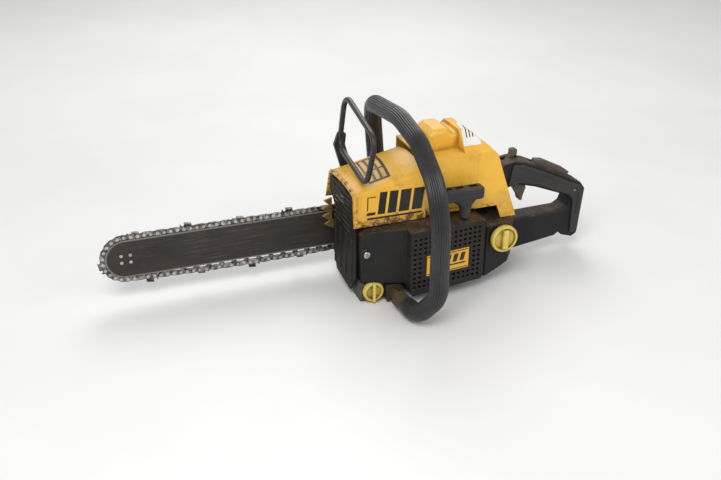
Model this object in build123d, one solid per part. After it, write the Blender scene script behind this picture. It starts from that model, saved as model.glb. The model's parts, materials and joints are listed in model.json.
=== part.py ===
from build123d import *
import math
import os

# A petrol chainsaw with a 40 cm bar, as an assembly of separate pieces, in millimetres.
# X runs from the bar's nose (-X) to the rear handle (+X), +Y is the bar side (the user's right) and +Z is up.
# The origin lies on the resting surface, straight below the crankshaft.

os.makedirs("parts", exist_ok=True)

# Layout of the powerhead
crank_z = 69.0            # height of the crankshaft above the resting surface
bar_y = 52.0              # middle plane of the bar, the chain and the sprocket
body_front = -136.0       # front wall of the crankcase
case_rear = 58.0          # rear wall of the crankcase
case_left = -36.0         # outer face of the left half
case_right = 34.0         # outer face of the right half
case_top = 103.0          # face that the cylinder is bolted to
deck_z = 92.0             # top of the case in front of the cylinder
case_wall = 4.0
seam_gap = 0.4            # air between neighbouring mouldings
running_gap = 0.05        # radial play of a shaft in its bearing
slide_gap = 0.5           # play round a part that slides or swings in a slot

# Engine
bore_radius = 22.0
stroke = 32.0
rod_length = 56.0
crown_height = 18.0       # wrist pin to piston crown
skirt_height = 12.0       # wrist pin to skirt edge
web_radius = 27.0
web_inner = 6.3           # half the gap between the crank webs
web_outer = 15.3
chamber_radius = 36.5
chamber_half = 16.5
boss_radius = 42.0        # case metal round the crank chamber
journal_radius = 7.5
bearing_radius = 17.5
bearing_width = 11.0
shaft_radius = 5.0        # drum journal on the clutch side
thread_radius = 4.0
pin_radius = 5.0          # wrist pin
crankpin_radius = 6.5
flywheel_radius = 41.0
flywheel_face = -60.0     # outer end of the flywheel's hub
fin_size = (66.0, 62.0)   # cooling fins of the cylinder, along X and Y
fin_count = 8
fin_pitch = 7.6

# Bar and chain
chain_pitch = 9.525       # rivet to rivet
drive_links = 56
drive_teeth = 7
nose_teeth = 11
rail_depth = 3.7          # pitch line down to the rail
rail_play = 0.45          # room for straight straps on the round nose
tang_depth = 8.3          # pitch line down to the tip of a drive link
drive_gauge = 1.3
strap_thickness = 1.2
chain_play = 0.1
cutter_every = 4          # one cutter on every fourth strap
cutter_rise = 7.2
chain_sag = 4.0           # how far the slack lower run hangs below the bar
rail_end = -75.0          # where the rails begin to close in on the sprocket
rail_end_radius = 60.0
bar_tail = -40.0
plate_thickness = 1.6
groove_depth = 6.6
stud_x = (-86.0, -60.0)
stud_radius = 4.0
nut_radius = 7.5

# Covers
starter_depth = -102.0    # furthest face of the starter housing
starter_wall = 3.0
cover_wall = 2.6
cover_split = -31.0       # seam between the front and the rear cover
cover_base = 118.0        # lower edge of both covers
cover_half = 62.0         # half the covers' width at the lower edge
dome_round = 8.0          # rounding of the dome's long edges
clutch_cover_y = 88.0
clutch_wall = 3.0
clutch_cover_top = 116.0
shield_thickness = 2.4

# Handles and controls
handle_radius = 13.5
handle_tube_radius = 10.0
handle_tube_wall = 1.5
handle_x = -58.0
handle_left = -170.0
handle_top = 257.0
handle_right = 98.0
rear_handle_half = 17.0
shell_thickness = 3.0
trigger_pivot = (148.0, 136.0)
trigger_half = 6.0
lockout_pivot = (182.0, 146.0)
guard_pivot = (-100.0, 126.0)
guard_thickness = 7.5
guard_bend = 16.0
guard_lean = 5.0
guard_ahead = 16.0
guard_middle_z = 215.0
guard_corners = [(70, 190), (-54, 172), (-72, 252), (64, 280)]
guard_boss_radius = 8.0
guard_y = (63.0, 72.0)
pin_hole_gap = 0.06

# Tank, caps and starter
tank_rear = 112.0
tank_left = -80.0
tank_top = 96.0
tank_wall = 3.0
fuel_cap_x = 86.0
fuel_cap_z = 77.0
fuel_cap_radius = 20.5
oil_cap_x = -115.0
oil_cap_z = 18.0
oil_cap_radius = 15.0
oil_tank_left = -68.0
neck_depth = 9.0          # how far a cap's plug reaches into its neck
pulley_radius = 22.0      # where the rope leaves the pulley
pulley_y = (-84.0, -76.0)
rope_radius = 1.75
badge_x = (-44.0, 26.0)
badge_z = (44.0, 76.0)
wing_screw = (-127.0, 81.0)
hole_start = (-63.0, 28.0)    # lower front hole of the cooling grid
hole_pitch = (8.2, 7.6)
hole_columns = 14
hole_rows = 11
hole_half = 2.2

# Small parts
choke_x = 132.0
choke_z = 156.0
mount_heights = (24.0, 84.0)
mount_radius = 8.0
mount_seat = 3.5
drum_radius = 36.5
drum_wall = 1.6
drum_y = (58.5, 76.0)
tension_x = -66.0
tension_drop = 16.0
hub_radius = 12.0
carb_x = (50.0, 86.0)
carb_z = (108.0, 138.0)
carb_axis_z = 125.5
throat_radius = 9.0
valve_x = (59.2, 77.2)
handle_bends = [30, 40, 90, 70, 70, 110, 26, 60]
sleeve_start = 22.0       # bare length of the front handle's tube before its rubber


# Plain solids
def box(x, y, z):
    """Block between the limits x, y and z."""
    middle = Pos(sum(x) / 2, sum(y) / 2, sum(z) / 2)
    return middle * Box(x[1] - x[0], y[1] - y[0], z[1] - z[0])


def rod_x(radius, x, y, z):
    return Pos(sum(x) / 2, y, z) * Rot(0, 90, 0) * Cylinder(radius, x[1] - x[0])


def rod_y(radius, y, x=0.0, z=crank_z):
    return Pos(x, sum(y) / 2, z) * Rot(90, 0, 0) * Cylinder(radius, y[1] - y[0])


def rod_z(radius, z, x=0.0, y=0.0):
    return Pos(x, y, sum(z) / 2) * Cylinder(radius, z[1] - z[0])


def ring_y(outer, inner, y, x=0.0, z=crank_z):
    return rod_y(outer, y, x, z) - rod_y(inner, (y[0] - 1, y[1] + 1), x, z)


def hexagon_y(across, y, x, z):
    profile = extrude(RegularPolygon(across / 2, 6, major_radius=False), y[1] - y[0])
    return Pos(x, y[1], z) * (Plane.XZ * profile)


def flat(points, corner):
    face = make_face(Polyline(*points, close=True))
    return fillet(face.vertices(), corner) if corner else face


def side_plate(points, y, corner=0.0):
    """Plate with the outline points (x, z), between two values of y."""
    return Pos(0, y[1], 0) * (Plane.XZ * extrude(flat(points, corner), y[1] - y[0]))


def front_plate(points, x, corner=0.0):
    """Plate with the outline points (y, z), between two values of x."""
    return Pos(x[0], 0, 0) * (Plane.YZ * extrude(flat(points, corner), x[1] - x[0]))


def top_plate(points, z, corner=0.0):
    """Plate with the outline points (x, y), between two values of z."""
    return Pos(0, 0, z[0]) * extrude(flat(points, corner), z[1] - z[0])


def bar_between(start, end, width, y):
    """Flat link with round ends from start to end, both (x, z)."""
    length = math.dist(start, end)
    angle = math.degrees(math.atan2(end[1] - start[1], end[0] - start[0]))
    link = extrude(SlotCenterToCenter(length, width), y[1] - y[0])
    middle = Pos((start[0] + end[0]) / 2, y[1], (start[1] + end[1]) / 2)
    return middle * Rot(0, -angle, 0) * (Plane.XZ * link)


def tube(points, radii, radius, bore=0.0):
    """Round tube along straight runs joined by tangent arcs."""
    path = FilletPolyline(*points, radius=radii)
    section = Circle(radius)
    if bore:
        section -= Circle(bore)
    return sweep(Plane(origin=path @ 0, z_dir=path % 0) * section, path=path)


def group(solids):
    return Compound(children=list(solids))


def save(shape, name):
    export_step(shape, f"parts/{name}.step")


# Crankcase
def case_outline(inset):
    return [
        (body_front + inset, 38.0), (-118.0 + inset / 2, inset), (52.0 - inset / 2, inset),
        (case_rear - inset, 8.0 + inset / 2), (case_rear - inset, 98.0 - inset),
        (48.0 - inset, case_top - inset),
        (-46.0 + inset, case_top - inset), (-52.0, deck_z - inset), (body_front + inset, deck_z - inset),
    ]


def case_half(y):
    """Thin-walled half of the crankcase with a solid boss round the crank, open on the middle plane."""
    outer = side_plate(case_outline(0.0), y)
    inner_y = (0.0, y[1] - case_wall) if y[0] == 0.0 else (y[0] + case_wall, 0.0)
    boss = rod_y(boss_radius, y) + box((-32, 32), y, (crank_z, case_top))
    hollow = side_plate(case_outline(case_wall), inner_y) - boss
    shell = outer - hollow
    shell -= rod_y(chamber_radius, (-chamber_half, chamber_half))
    shell -= rod_z(bore_radius + 1.0, (crank_z + 10, case_top + 1))
    bearing = (chamber_half + 0.5, chamber_half + 0.5 + bearing_width)
    for side in (-1, 1):
        limits = sorted((side * bearing[0], side * bearing[1]))
        shell -= rod_y(bearing_radius, limits)
        shell -= rod_y(12.0, sorted((side * bearing[1], side * 40.0)))
        shell -= rod_y(12.0, sorted((side * chamber_half, side * bearing[0])))
    for z in mount_heights:
        shell -= rod_x(mount_radius, (case_rear - mount_seat, case_rear + 1), mount_side(y), z)
    return shell




def mount_side(y):
    return 22.0 if y[0] == 0.0 else -22.0


def crankcase_left():
    half = case_half((case_left, 0.0))
    nose = box((-132, -72), (oil_tank_left, case_left), (0, 30))
    nose = fillet(nose.edges().filter_by(Axis.X).group_by(Axis.Y)[0], 5)
    nose -= box((-129, -75), (oil_tank_left + 3, case_left + 1), (3, 27))
    nose -= rod_y(8.6, (oil_tank_left - 1, oil_tank_left + 4), oil_cap_x, oil_cap_z)
    way_in = box((-125, -80), (case_left - 1, case_left + case_wall + 1), (6, 24))
    return (half + nose) - way_in


def crankcase_right():
    half = case_half((0.0, case_right))
    pad = box((-100, -46), (case_right, bar_y - 1.5 * plate_thickness), (58, 82))
    half += pad
    half += rod_y(guard_boss_radius, (case_right - 6, guard_y[0] - 0.5), *guard_pivot)
    half += box((-108, -92), (case_right - 6, case_right), (86, guard_pivot[1]))
    half -= rod_y(3.0, (50, 70), *guard_pivot)
    for x in stud_x:
        half -= rod_y(stud_radius, (26, 60), x)
    return half


def cylinder():
    barrel = rod_z(28.0, (case_top, 172))
    flange = box((-31, 31), (-29, 29), (case_top, 109))
    body = barrel + flange + box((-36, -20), (-16, 16), (122, 150)) + box((20, 36), (-16, 16), (114, 138))
    for step in range(fin_count):
        z = 113.0 + step * fin_pitch
        fin = Pos(0, 0, z) * extrude(RectangleRounded(*fin_size, 9), 2.2)
        body += fin
    body -= rod_z(bore_radius, (case_top - 1, 160.5))
    body -= rod_z(7.0, (150, 175))
    body -= box((-40, -15), (-11, 11), (128, 144))
    body -= box((15, 40), (-10, 10), (119, 132))
    return body


def engine_pieces():
    pin_z = crank_z + stroke / 2 + rod_length
    crankpin_z = crank_z + stroke / 2
    piston_radius = bore_radius - 0.08
    piston = rod_z(piston_radius, (pin_z - skirt_height, pin_z + crown_height))
    hollow = rod_z(17.5, (pin_z - skirt_height - 1, pin_z + 11))
    for side in (-1, 1):
        hollow -= rod_y(9.0, sorted((side * 7.0, side * 20.0)), 0, pin_z)
    piston -= hollow
    piston -= rod_y(pin_radius + 0.02, (-25, 25), 0, pin_z)
    rings = []
    for drop in (3.5, 7.5):
        z = (pin_z + crown_height - drop - 1.5, pin_z + crown_height - drop)
        groove = rod_z(30, z) - rod_z(19.5, (z[0] - 1, z[1] + 1))
        piston -= groove
        ring = rod_z(bore_radius - 0.05, (z[0] + 0.05, z[1] - 0.05)) - rod_z(19.6, (z[0] - 1, z[1] + 1))
        rings.append(ring - box((0, 30), (-0.4, 0.4), (z[0] - 1, z[1] + 1)))
    save(piston, "piston")
    wrist_pin = ring_y(pin_radius, 3.0, (-19.5, 19.5), 0, pin_z)
    save(group(rings + [wrist_pin]), "piston_rings_and_pin")

    rod = rod_y(8.5, (-5.5, 5.5), 0, pin_z) + rod_y(11.0, (-6, 6), 0, crankpin_z)
    rod += box((-4.5, 4.5), (-3, 3), (crankpin_z + 9, pin_z - 6))
    rod -= rod_y(pin_radius + running_gap, (-9, 9), 0, pin_z)
    rod -= rod_y(crankpin_radius + running_gap, (-9, 9), 0, crankpin_z)
    crankpin = ring_y(crankpin_radius, 3.0, (-6, 6), 0, crankpin_z)
    save(group([rod, crankpin]), "connecting_rod")


def crankshaft_left():
    half = rod_y(web_radius, (-web_outer, -web_inner)) + rod_y(journal_radius, (-38, -web_outer))
    return half + rod_y(6.0, (flywheel_face, -38)) + rod_y(thread_radius, (flywheel_face - 9, flywheel_face))


def crankshaft_right():
    half = rod_y(web_radius, (web_inner, web_outer)) + rod_y(journal_radius, (web_outer, 36))
    half += rod_y(6.0, (36, 46)) + rod_y(shaft_radius, (46, 74))
    return half + rod_y(thread_radius, (74, 83))


def bearings_and_seals():
    inner = chamber_half + 0.5
    bearings = []
    seals = []
    for side in (-1, 1):
        limits = sorted((side * inner, side * (inner + bearing_width)))
        bearings.append(ring_y(bearing_radius, journal_radius + running_gap, limits))
        end = sorted((side * (inner + bearing_width), side * (inner + bearing_width + 5)))
        seals.append(ring_y(12.0, journal_radius + running_gap, end))
    save(group(bearings + seals), "crank_bearings_and_seals")


def flywheel():
    hub = rod_y(14.0, (flywheel_face, -42))
    disc = rod_y(flywheel_radius, (-50, -42)) - rod_y(flywheel_radius - 9, (-46, -40))
    wheel = hub + disc + rod_y(16.0, (-50, -42))
    blade = box((20, flywheel_radius - 1), (-60, -50), (crank_z - 1, crank_z + 1))
    for step in range(20):
        wheel += Pos(0, 0, crank_z) * Rot(0, step * 18.0, 0) * Pos(0, 0, -crank_z) * blade
    return wheel - rod_y(6.0 + 0.02, (flywheel_face - 1, -38))


def ignition_pieces():
    coil_x = -(flywheel_radius + 0.5)
    legs = box((coil_x - 14, coil_x - 2), (-52, -44), (crank_z - 16, crank_z - 8))
    legs += box((coil_x - 14, coil_x), (-52, -44), (crank_z + 6, crank_z + 14))
    legs += box((coil_x - 22, coil_x - 14), (-52, -44), (crank_z - 16, crank_z + 14))
    legs -= rod_y(flywheel_radius + 0.5, (-60, -40))
    body = box((coil_x - 28, coil_x - 22), (-56, -40), (crank_z - 14, crank_z + 14))
    body += box((coil_x - 13, coil_x - 6), (-56, -40), (crank_z - 7, crank_z + 5))
    save(legs + body, "ignition_coil")

    boot_z = 187.5
    plug = rod_z(6.9, (160.6, 172)) + hexagon_z(19, (172, 180)) + rod_z(6.0, (180, 196))
    save(plug, "spark_plug")
    boot = rod_z(10.0, (182, 204)) + rod_x(5.5, (-22, 0), 0, boot_z)
    boot -= rod_z(6.0, (180, 196))
    lead_x = coil_x - 25
    route = [(lead_x, -46, crank_z + 14), (lead_x, -46, 118), (-62, -42, 148), (-54, -26, 170),
             (-40, -8, 182), (-18, 0, boot_z)]
    lead = tube(route, [30, 26, 30, 26], 2.6)
    save(group([boot - lead, lead]), "ignition_lead_and_boot")


def hexagon_z(across, z):
    return Pos(0, 0, z[0]) * extrude(RegularPolygon(across / 2, 6, major_radius=False), z[1] - z[0])


# Intake and exhaust


def intake_pieces():
    boot = box((36, carb_x[0]), (-15, 15), (114, 137)) - rod_x(throat_radius, (30, 60), 0, carb_axis_z)
    save(boot, "intake_boot")
    carb = box(carb_x, (-19, 19), carb_z) - rod_x(throat_radius, (50, 90), 0, carb_axis_z)
    carb += box((57, 77), (-15, 15), (carb_z[0] - 6, carb_z[0]))
    for x in valve_x:
        carb -= rod_y(2.5 + running_gap, (-30, 30), x, carb_axis_z)
    save(carb, "carburettor")
    shut = rod_x(throat_radius - 0.4, (valve_x[0] - 0.8, valve_x[0] + 0.8), 0, carb_axis_z)
    level = rod_z(throat_radius - 0.4, (carb_axis_z - 0.8, carb_axis_z + 0.8), valve_x[1])
    for x, name, disc in zip(valve_x, ("throttle_valve", "choke_valve"), (shut, level)):
        valve = disc + rod_y(2.5, (-23, 23), x, carb_axis_z)
        valve += bar_between((x, carb_axis_z), (x, carb_axis_z + 9), 6, (-23, -21))
        save(valve, name)
    frame = box((carb_x[1] + 0.5, carb_x[1] + 5), (-40, 40), (112, 160))
    frame -= rod_x(throat_radius, (80, 95), 0, carb_axis_z)
    element = box((36, 82), (-40, 40), (142, 190))
    element = fillet(element.edges().filter_by(Axis.Z), 8)
    element += frame + box((72, carb_x[1] + 5), (-40, 40), (142, 160))
    save(element, "air_filter")


def muffler():
    body = box((-116, -54), (-34, 26), (97, 152))
    body = fillet(body.edges(), 8)
    body += box((-56, -36), (-15, 15), (123, 149))
    body -= box((-60, -30), (-10, 10), (129, 143))
    body -= box((-113, -57), (-31, 23), (100, 149))
    outlet = rod_x(6.0, (-122, -114), -12, 112)
    return body + outlet - rod_x(4.5, (-124, -110), -12, 112)


# Clutch, drum and brake


def clutch_pieces():
    hub = rod_y(13.0, (62, 74))
    arm = box((0, 20), (63, 73), (crank_z - 5, crank_z + 5))
    shoe = ring_y(drum_radius - drum_wall - 0.6, 22.0, (63, 73)) & wedge(50.0)
    shoes = []
    for step in range(3):
        turn = Pos(0, 0, crank_z) * Rot(0, step * 120.0, 0) * Pos(0, 0, -crank_z)
        hub += turn * arm
        shoes.append(turn * shoe)
    hub -= rod_y(shaft_radius + 0.02, (60, 76))
    save(hub, "clutch_hub")
    spring = ring_y(24.0, 22.3, (73, 75.5))
    spring -= box((0, 30), (72, 78), (crank_z - 1, crank_z + 1))
    save(group(shoes + [spring]), "clutch_shoes_and_spring")

    cup = rod_y(drum_radius, drum_y) - rod_y(drum_radius - drum_wall, (drum_y[0] + 2, drum_y[1] + 1))
    cup -= rod_y(7.6, (50, 70))
    save(cup, "clutch_drum")
    needle_cage = ring_y(7.55, shaft_radius + running_gap, (48.5, 60.5))
    save(group([chain_sprocket(), needle_cage]), "chain_sprocket_and_bearing")
    worm = ring_y(9.5, 6.0 + 0.02, (37, 44))
    for step in range(8):
        turn = Pos(0, 0, crank_z) * Rot(0, step * 45.0, 0) * Pos(0, 0, -crank_z)
        worm -= turn * box((8.6, 11), (36, 45), (crank_z - 1, crank_z + 1))
    save(group([crankshaft_left(), crankshaft_right(), worm]), "crankshaft")
    pump = box((12, 44), (case_right, 44.5), (crank_z - 9, crank_z + 9))
    pump -= rod_y(10.3, (36, 46))
    save(pump, "oil_pump")


def wedge(half_angle):
    reach = 60.0
    angle = math.radians(60.0)
    half = math.radians(half_angle)
    tips = [(reach * math.cos(angle + side * half), crank_z + reach * math.sin(angle + side * half))
            for side in (-1, 1)]
    return side_plate([(0, crank_z), tips[0], tips[1]], (50, 90))


def toothed(root, tip, teeth, y, x=0.0, width=0.35):
    """Disc with teeth, where width is a tooth's share of its pitch at the root."""
    wheel = rod_y(root, y, x)
    half = root * math.pi / teeth * width
    tooth = side_plate([(root - 2, -half), (tip, -half / 2), (tip, half / 2), (root - 2, half)], y)
    for step in range(teeth):
        wheel += Pos(x, 0, crank_z) * Rot(0, step * 360.0 / teeth, 0) * tooth
    return wheel


def chain_sprocket():
    strap_floor = arc_radius(drive_teeth) * math.cos(math.pi / drive_teeth / 2) - rail_depth
    tang_floor = arc_radius(drive_teeth) * math.cos(math.pi / drive_teeth / 2) - tang_depth
    wheel = toothed(tang_floor - 2.2, tang_floor - 0.5, drive_teeth, (bar_y - 2, bar_y + 2))
    for side in (-1, 1):
        limits = sorted((bar_y + side * 1.2, bar_y + side * 3.6))
        wheel += rod_y(strap_floor - 0.5, limits)
    wheel += rod_y(11.0, (bar_y + 3.6, drum_y[0]))
    return wheel - rod_y(7.6, (40, 70))


def brake_band():
    band = ring_y(drum_radius + 2.0, drum_radius + 0.8, (drum_y[0] + 2, drum_y[1] - 2))
    band -= box((20, 50), (50, 80), (crank_z + 14, crank_z + 50))
    lug = box((-4, 4), (62, 72), (crank_z - drum_radius - 7, crank_z - drum_radius - 1.2))
    return band + (lug - rod_y(drum_radius + 0.8, (50, 80)))


# Bar and chain
def arc_radius(teeth):
    """Radius of the chain's pitch line where it runs round a wheel."""
    return teeth * chain_pitch / math.pi


def tail_turn():
    """Angle through which the run closes in from the rails to the sprocket."""
    rise = arc_radius(nose_teeth) - rail_end_radius
    reach = math.hypot(rail_end, rise)
    return math.asin((rail_end_radius - arc_radius(drive_teeth)) / reach) - math.atan2(-rise, -rail_end)


def slant_length():
    rise = rail_end_radius - arc_radius(nose_teeth)
    return -rail_end * math.cos(tail_turn()) - rise * math.sin(tail_turn())


def nose_distance():
    """Distance from the crankshaft to the bar's nose wheel that the chain's length gives."""
    half_loop = drive_links * chain_pitch
    wheels = arc_radius(nose_teeth) * math.pi / 2 + arc_radius(drive_teeth) * (math.pi / 2 - tail_turn())
    return half_loop - wheels - rail_end_radius * tail_turn() - slant_length() - rail_end


def pitch_line():
    """Lengths and radii of the chain's runs, clockwise from the upper end of the nose."""
    rail = (nose_distance() + rail_end, 0.0)
    close = (rail_end_radius * tail_turn(), rail_end_radius)
    slant = (slant_length(), 0.0)
    sprocket_wrap = (arc_radius(drive_teeth) * (math.pi - 2 * tail_turn()), arc_radius(drive_teeth))
    nose_wrap = (arc_radius(nose_teeth) * math.pi, arc_radius(nose_teeth))
    return [rail, close, slant, sprocket_wrap, slant, close, rail, nose_wrap]


def chain_point(distance):
    """Place (x, z) on the pitch line, with the lower run hanging a little below the bar."""
    runs = pitch_line()
    x = -nose_distance()
    z = crank_z + arc_radius(nose_teeth)
    heading = 0.0
    for number, (length, radius) in enumerate(runs):
        step = min(distance, length)
        if radius:
            turn = step / radius
            x += radius * (math.sin(heading) - math.sin(heading - turn))
            z += radius * (math.cos(heading - turn) - math.cos(heading))
            heading -= turn
        else:
            x += step * math.cos(heading)
            z += step * math.sin(heading)
        if distance <= length:
            if number == 6:
                z -= chain_sag * math.sin(math.pi * step / length)
            break
        distance -= length
    return x, z


def link_places():
    """Location of every link, each between two neighbouring rivets; even ones are drive links."""
    rivets = [chain_point(step * chain_pitch) for step in range(2 * drive_links)]
    places = []
    for start, end in zip(rivets, rivets[1:] + rivets[:1]):
        angle = math.degrees(math.atan2(end[1] - start[1], end[0] - start[0]))
        middle = Pos((start[0] + end[0]) / 2, bar_y, (start[1] + end[1]) / 2)
        places.append(middle * Rot(0, -angle, 0))
    return rivets, places


def rivet_holes(y):
    half = chain_pitch / 2
    return rod_y(2.1, y, -half, 0) + rod_y(2.1, y, half, 0)


def drive_link():
    half = chain_pitch / 2
    y = (-drive_gauge / 2, drive_gauge / 2)
    tang = side_plate([(-half - 1.5, 0), (-half - 0.5, -rail_depth), (-1.5, -tang_depth),
                       (2.5, -tang_depth + 1),
                       (half + 0.5, -rail_depth), (half + 1.5, 0)], y)
    plate = bar_between((-half, 0), (half, 0), 2 * (rail_depth - 0.3), y)
    return plate + tang - rivet_holes((-3, 3))


def strap(side):
    half = chain_pitch / 2
    inner = drive_gauge / 2 + chain_play
    y = sorted((side * inner, side * (inner + strap_thickness)))
    plate = bar_between((-half, 0), (half, 0), 2 * rail_depth - 0.2, y)
    return plate, y


def cutter(side):
    """Strap with a folded-over cutting tooth and a depth gauge ahead of it."""
    half = chain_pitch / 2
    plate, y = strap(side)
    web = side_plate([(-half - 0.5, 2), (-half + 2, cutter_rise), (half + 2.0, cutter_rise - 0.6),
                      (half + 3.2, 2)], y)
    gauge = side_plate([(-half - 5.4, 0.0), (-half - 5.4, cutter_rise - 2.5),
                        (-half - 3.2, cutter_rise - 0.8),
                        (-half - 2.2, 3.0), (-half + 1, 0.0)], y)
    top_y = sorted((side * 0.2, side * 5.2))
    top = side_plate([(-half + 1.2, cutter_rise - 0.9), (-half + 1.6, cutter_rise + 0.3),
                      (half + 2.2, cutter_rise - 0.5), (half + 2.2, cutter_rise - 1.7)], top_y)
    return plate + web + gauge + top


def chain_pieces():
    rivets, places = link_places()
    drive = drive_link()
    save(group(place * drive for place in places[0::2]), "chain_drive_links")
    left = strap(-1)[0] - rivet_holes((-6, 6))
    right = strap(1)[0] - rivet_holes((-6, 6))
    left_cutter = cutter(-1) - rivet_holes((-3, 3))
    right_cutter = cutter(1) - rivet_holes((-3, 3))
    straps = []
    cutters = []
    for count, place in enumerate(places[1::2]):
        toothed_link = count % cutter_every == 0
        left_tooth = toothed_link and count // cutter_every % 2 == 0
        right_tooth = toothed_link and not left_tooth
        (cutters if left_tooth else straps).append(place * (left_cutter if left_tooth else left))
        (cutters if right_tooth else straps).append(place * (right_cutter if right_tooth else right))
    save(group(straps), "chain_tie_straps")
    save(group(cutters), "chain_cutters")
    reach = drive_gauge / 2 + chain_play + strap_thickness
    pin = rod_y(2.0, (-reach - 0.3, reach + 0.3), 0, 0)
    pin += rod_y(2.5, (-reach - 0.5, -reach), 0, 0) + rod_y(2.5, (reach, reach + 0.5), 0, 0)
    save(group(Pos(x, bar_y, z) * pin for x, z in rivets), "chain_rivets")


def bar_face(inset):
    """Bar outline, drawn inside the pitch line by the depth of the rail and a further inset."""
    depth = rail_depth + rail_play + inset
    nose_radius = arc_radius(nose_teeth) - depth
    close_radius = rail_end_radius - depth
    turn = tail_turn()
    nose_x = -nose_distance()
    close_x = rail_end + close_radius * math.sin(turn)
    close_z = nose_radius - close_radius * (1 - math.cos(turn))
    tail_x = bar_tail - inset
    tail_z = close_z - (tail_x - close_x) * math.tan(turn)
    half = turn / 2
    mid_x = rail_end + close_radius * math.sin(half)
    mid_z = nose_radius - close_radius * (1 - math.cos(half))
    edges = [
        Line((nose_x, nose_radius), (rail_end, nose_radius)),
        ThreePointArc((rail_end, nose_radius), (mid_x, mid_z), (close_x, close_z)),
        Line((close_x, close_z), (tail_x, tail_z)),
        Line((tail_x, tail_z), (tail_x, -tail_z)),
        Line((tail_x, -tail_z), (close_x, -close_z)),
        ThreePointArc((close_x, -close_z), (mid_x, -mid_z), (rail_end, -nose_radius)),
        Line((rail_end, -nose_radius), (nose_x, -nose_radius)),
        ThreePointArc((nose_x, -nose_radius), (nose_x - nose_radius, 0), (nose_x, nose_radius)),
    ]
    return make_face(Wire(edges))


def bar_layer(inset, y):
    layer = Pos(0, y[1], crank_z) * (Plane.XZ * extrude(bar_face(inset), y[1] - y[0]))
    slot = bar_between((stud_x[0] - 14, crank_z), (bar_tail + 10, crank_z), 2 * stud_radius + 0.6,
                       (y[0] - 1, y[1] + 1))
    layer -= slot
    for z in (crank_z - tension_drop, crank_z + tension_drop):
        layer -= rod_y(3.2, (y[0] - 1, y[1] + 1), tension_x, z)
    for x, z in bar_rivet_places():
        layer -= rod_y(2.4, (y[0] - 1, y[1] + 1), x, z)
    return layer




def bar_rivet_places():
    nose = -nose_distance()
    around = [(nose + dx, crank_z + dz) for dx in (-6.5, 6.5) for dz in (-5.5, 5.5)]
    return around


def bar_pieces():
    core_y = (bar_y - plate_thickness / 2, bar_y + plate_thickness / 2)
    nose = -nose_distance()
    left = bar_layer(0.0, (core_y[0] - plate_thickness, core_y[0]))
    right = bar_layer(0.0, (core_y[1], core_y[1] + plate_thickness))
    wheel_tip = arc_radius(nose_teeth) * math.cos(math.pi / nose_teeth / 2) - tang_depth - 0.4
    core = bar_layer(groove_depth, core_y) - rod_y(wheel_tip + 1.5, (40, 60), nose)
    save(group([left, core, right]), "guide_bar")
    wheel = toothed(wheel_tip - 4.5, wheel_tip, nose_teeth, (core_y[0] + 0.1, core_y[1] - 0.1), nose, 0.45)
    save(wheel - rod_y(hub_radius + 0.08, (40, 60), nose), "nose_sprocket")
    hub = rod_y(hub_radius, core_y, nose)
    pins = []
    for x, z in bar_rivet_places():
        pins.append(rod_y(2.4, (bar_y - 1.5 * plate_thickness - 0.2, bar_y + 1.5 * plate_thickness + 0.2),
                          x, z))
        hub -= rod_y(2.4, (40, 60), x, z)
    save(group([hub] + pins), "nose_hub_and_rivets")


def bar_mount_pieces():
    studs = [rod_y(stud_radius, (26, clutch_cover_y + 8), x) for x in stud_x]
    nuts = []
    for x in stud_x:
        nut = hexagon_y(13, (clutch_cover_y, clutch_cover_y + 6.5), x, crank_z)
        nuts.append(nut - rod_y(stud_radius, (80, 100), x))
    save(group(studs + nuts), "bar_studs_and_nuts")
    block_y = (case_right + 6, bar_y - 1.5 * plate_thickness - 0.3)
    z = crank_z - tension_drop
    block = box((tension_x - 5, tension_x + 5), block_y, (z - 4, z + 4))
    block += rod_y(2.9, (block_y[1], bar_y + 2), tension_x, z)
    block -= rod_x(2.5, (-130, -30), 44, z)
    screw = rod_x(2.5, (-116, -52), 44, z) + rod_x(4.5, (-119, -116), 44, z)
    screw -= box((-120, -117.5), (43.4, 44.6), (z - 6, z + 6))
    save(group([block, screw]), "chain_tensioner")


def clutch_cover():
    def outline(inset):
        return [(-104 + inset, 18 + inset), (34 - inset / 2, 18 + inset), (52 - inset, 36 + inset / 2),
                (52 - inset, 100 - inset / 2), (38 - inset / 2, clutch_cover_top - inset),
                (-104 + inset, clutch_cover_top - inset)]
    shell = side_plate(outline(0.0), (case_right + 13, clutch_cover_y), 5)
    outer_edges = shell.faces().sort_by(Axis.Y)[-1].edges()
    shell = fillet(outer_edges, 2.5)
    shell -= side_plate(outline(clutch_wall), (case_right, clutch_cover_y - clutch_wall), 3)
    shell -= box((-120, -98), (40, clutch_cover_y - clutch_wall), (21, clutch_cover_top - clutch_wall))
    for x in stud_x:
        boss_y = (bar_y + 1.5 * plate_thickness, clutch_cover_y - clutch_wall)
        shell += ring_y(9.0, stud_radius + 0.3, boss_y, x)
        shell -= rod_y(stud_radius + 0.3, (40, 100), x)
    for step in range(5):
        x = -24.0 + step * 12.0
        shell -= box((x, x + 5), (clutch_cover_y - 5, clutch_cover_y + 1), (44, 94))
    return shell


def spiked_bumper():
    """Toothed plate beside the bar, screwed flat on the right half of the crankcase."""
    outline = [(-118, 72), (-140, 76), (-153, 84), (-144, 89), (-156, 97), (-145, 102), (-157, 110),
               (-145, 114),
               (-154, 122), (-141, 126), (-141, 90), (-118, 90)]
    return side_plate(outline, (case_right, case_right + 3))


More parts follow.
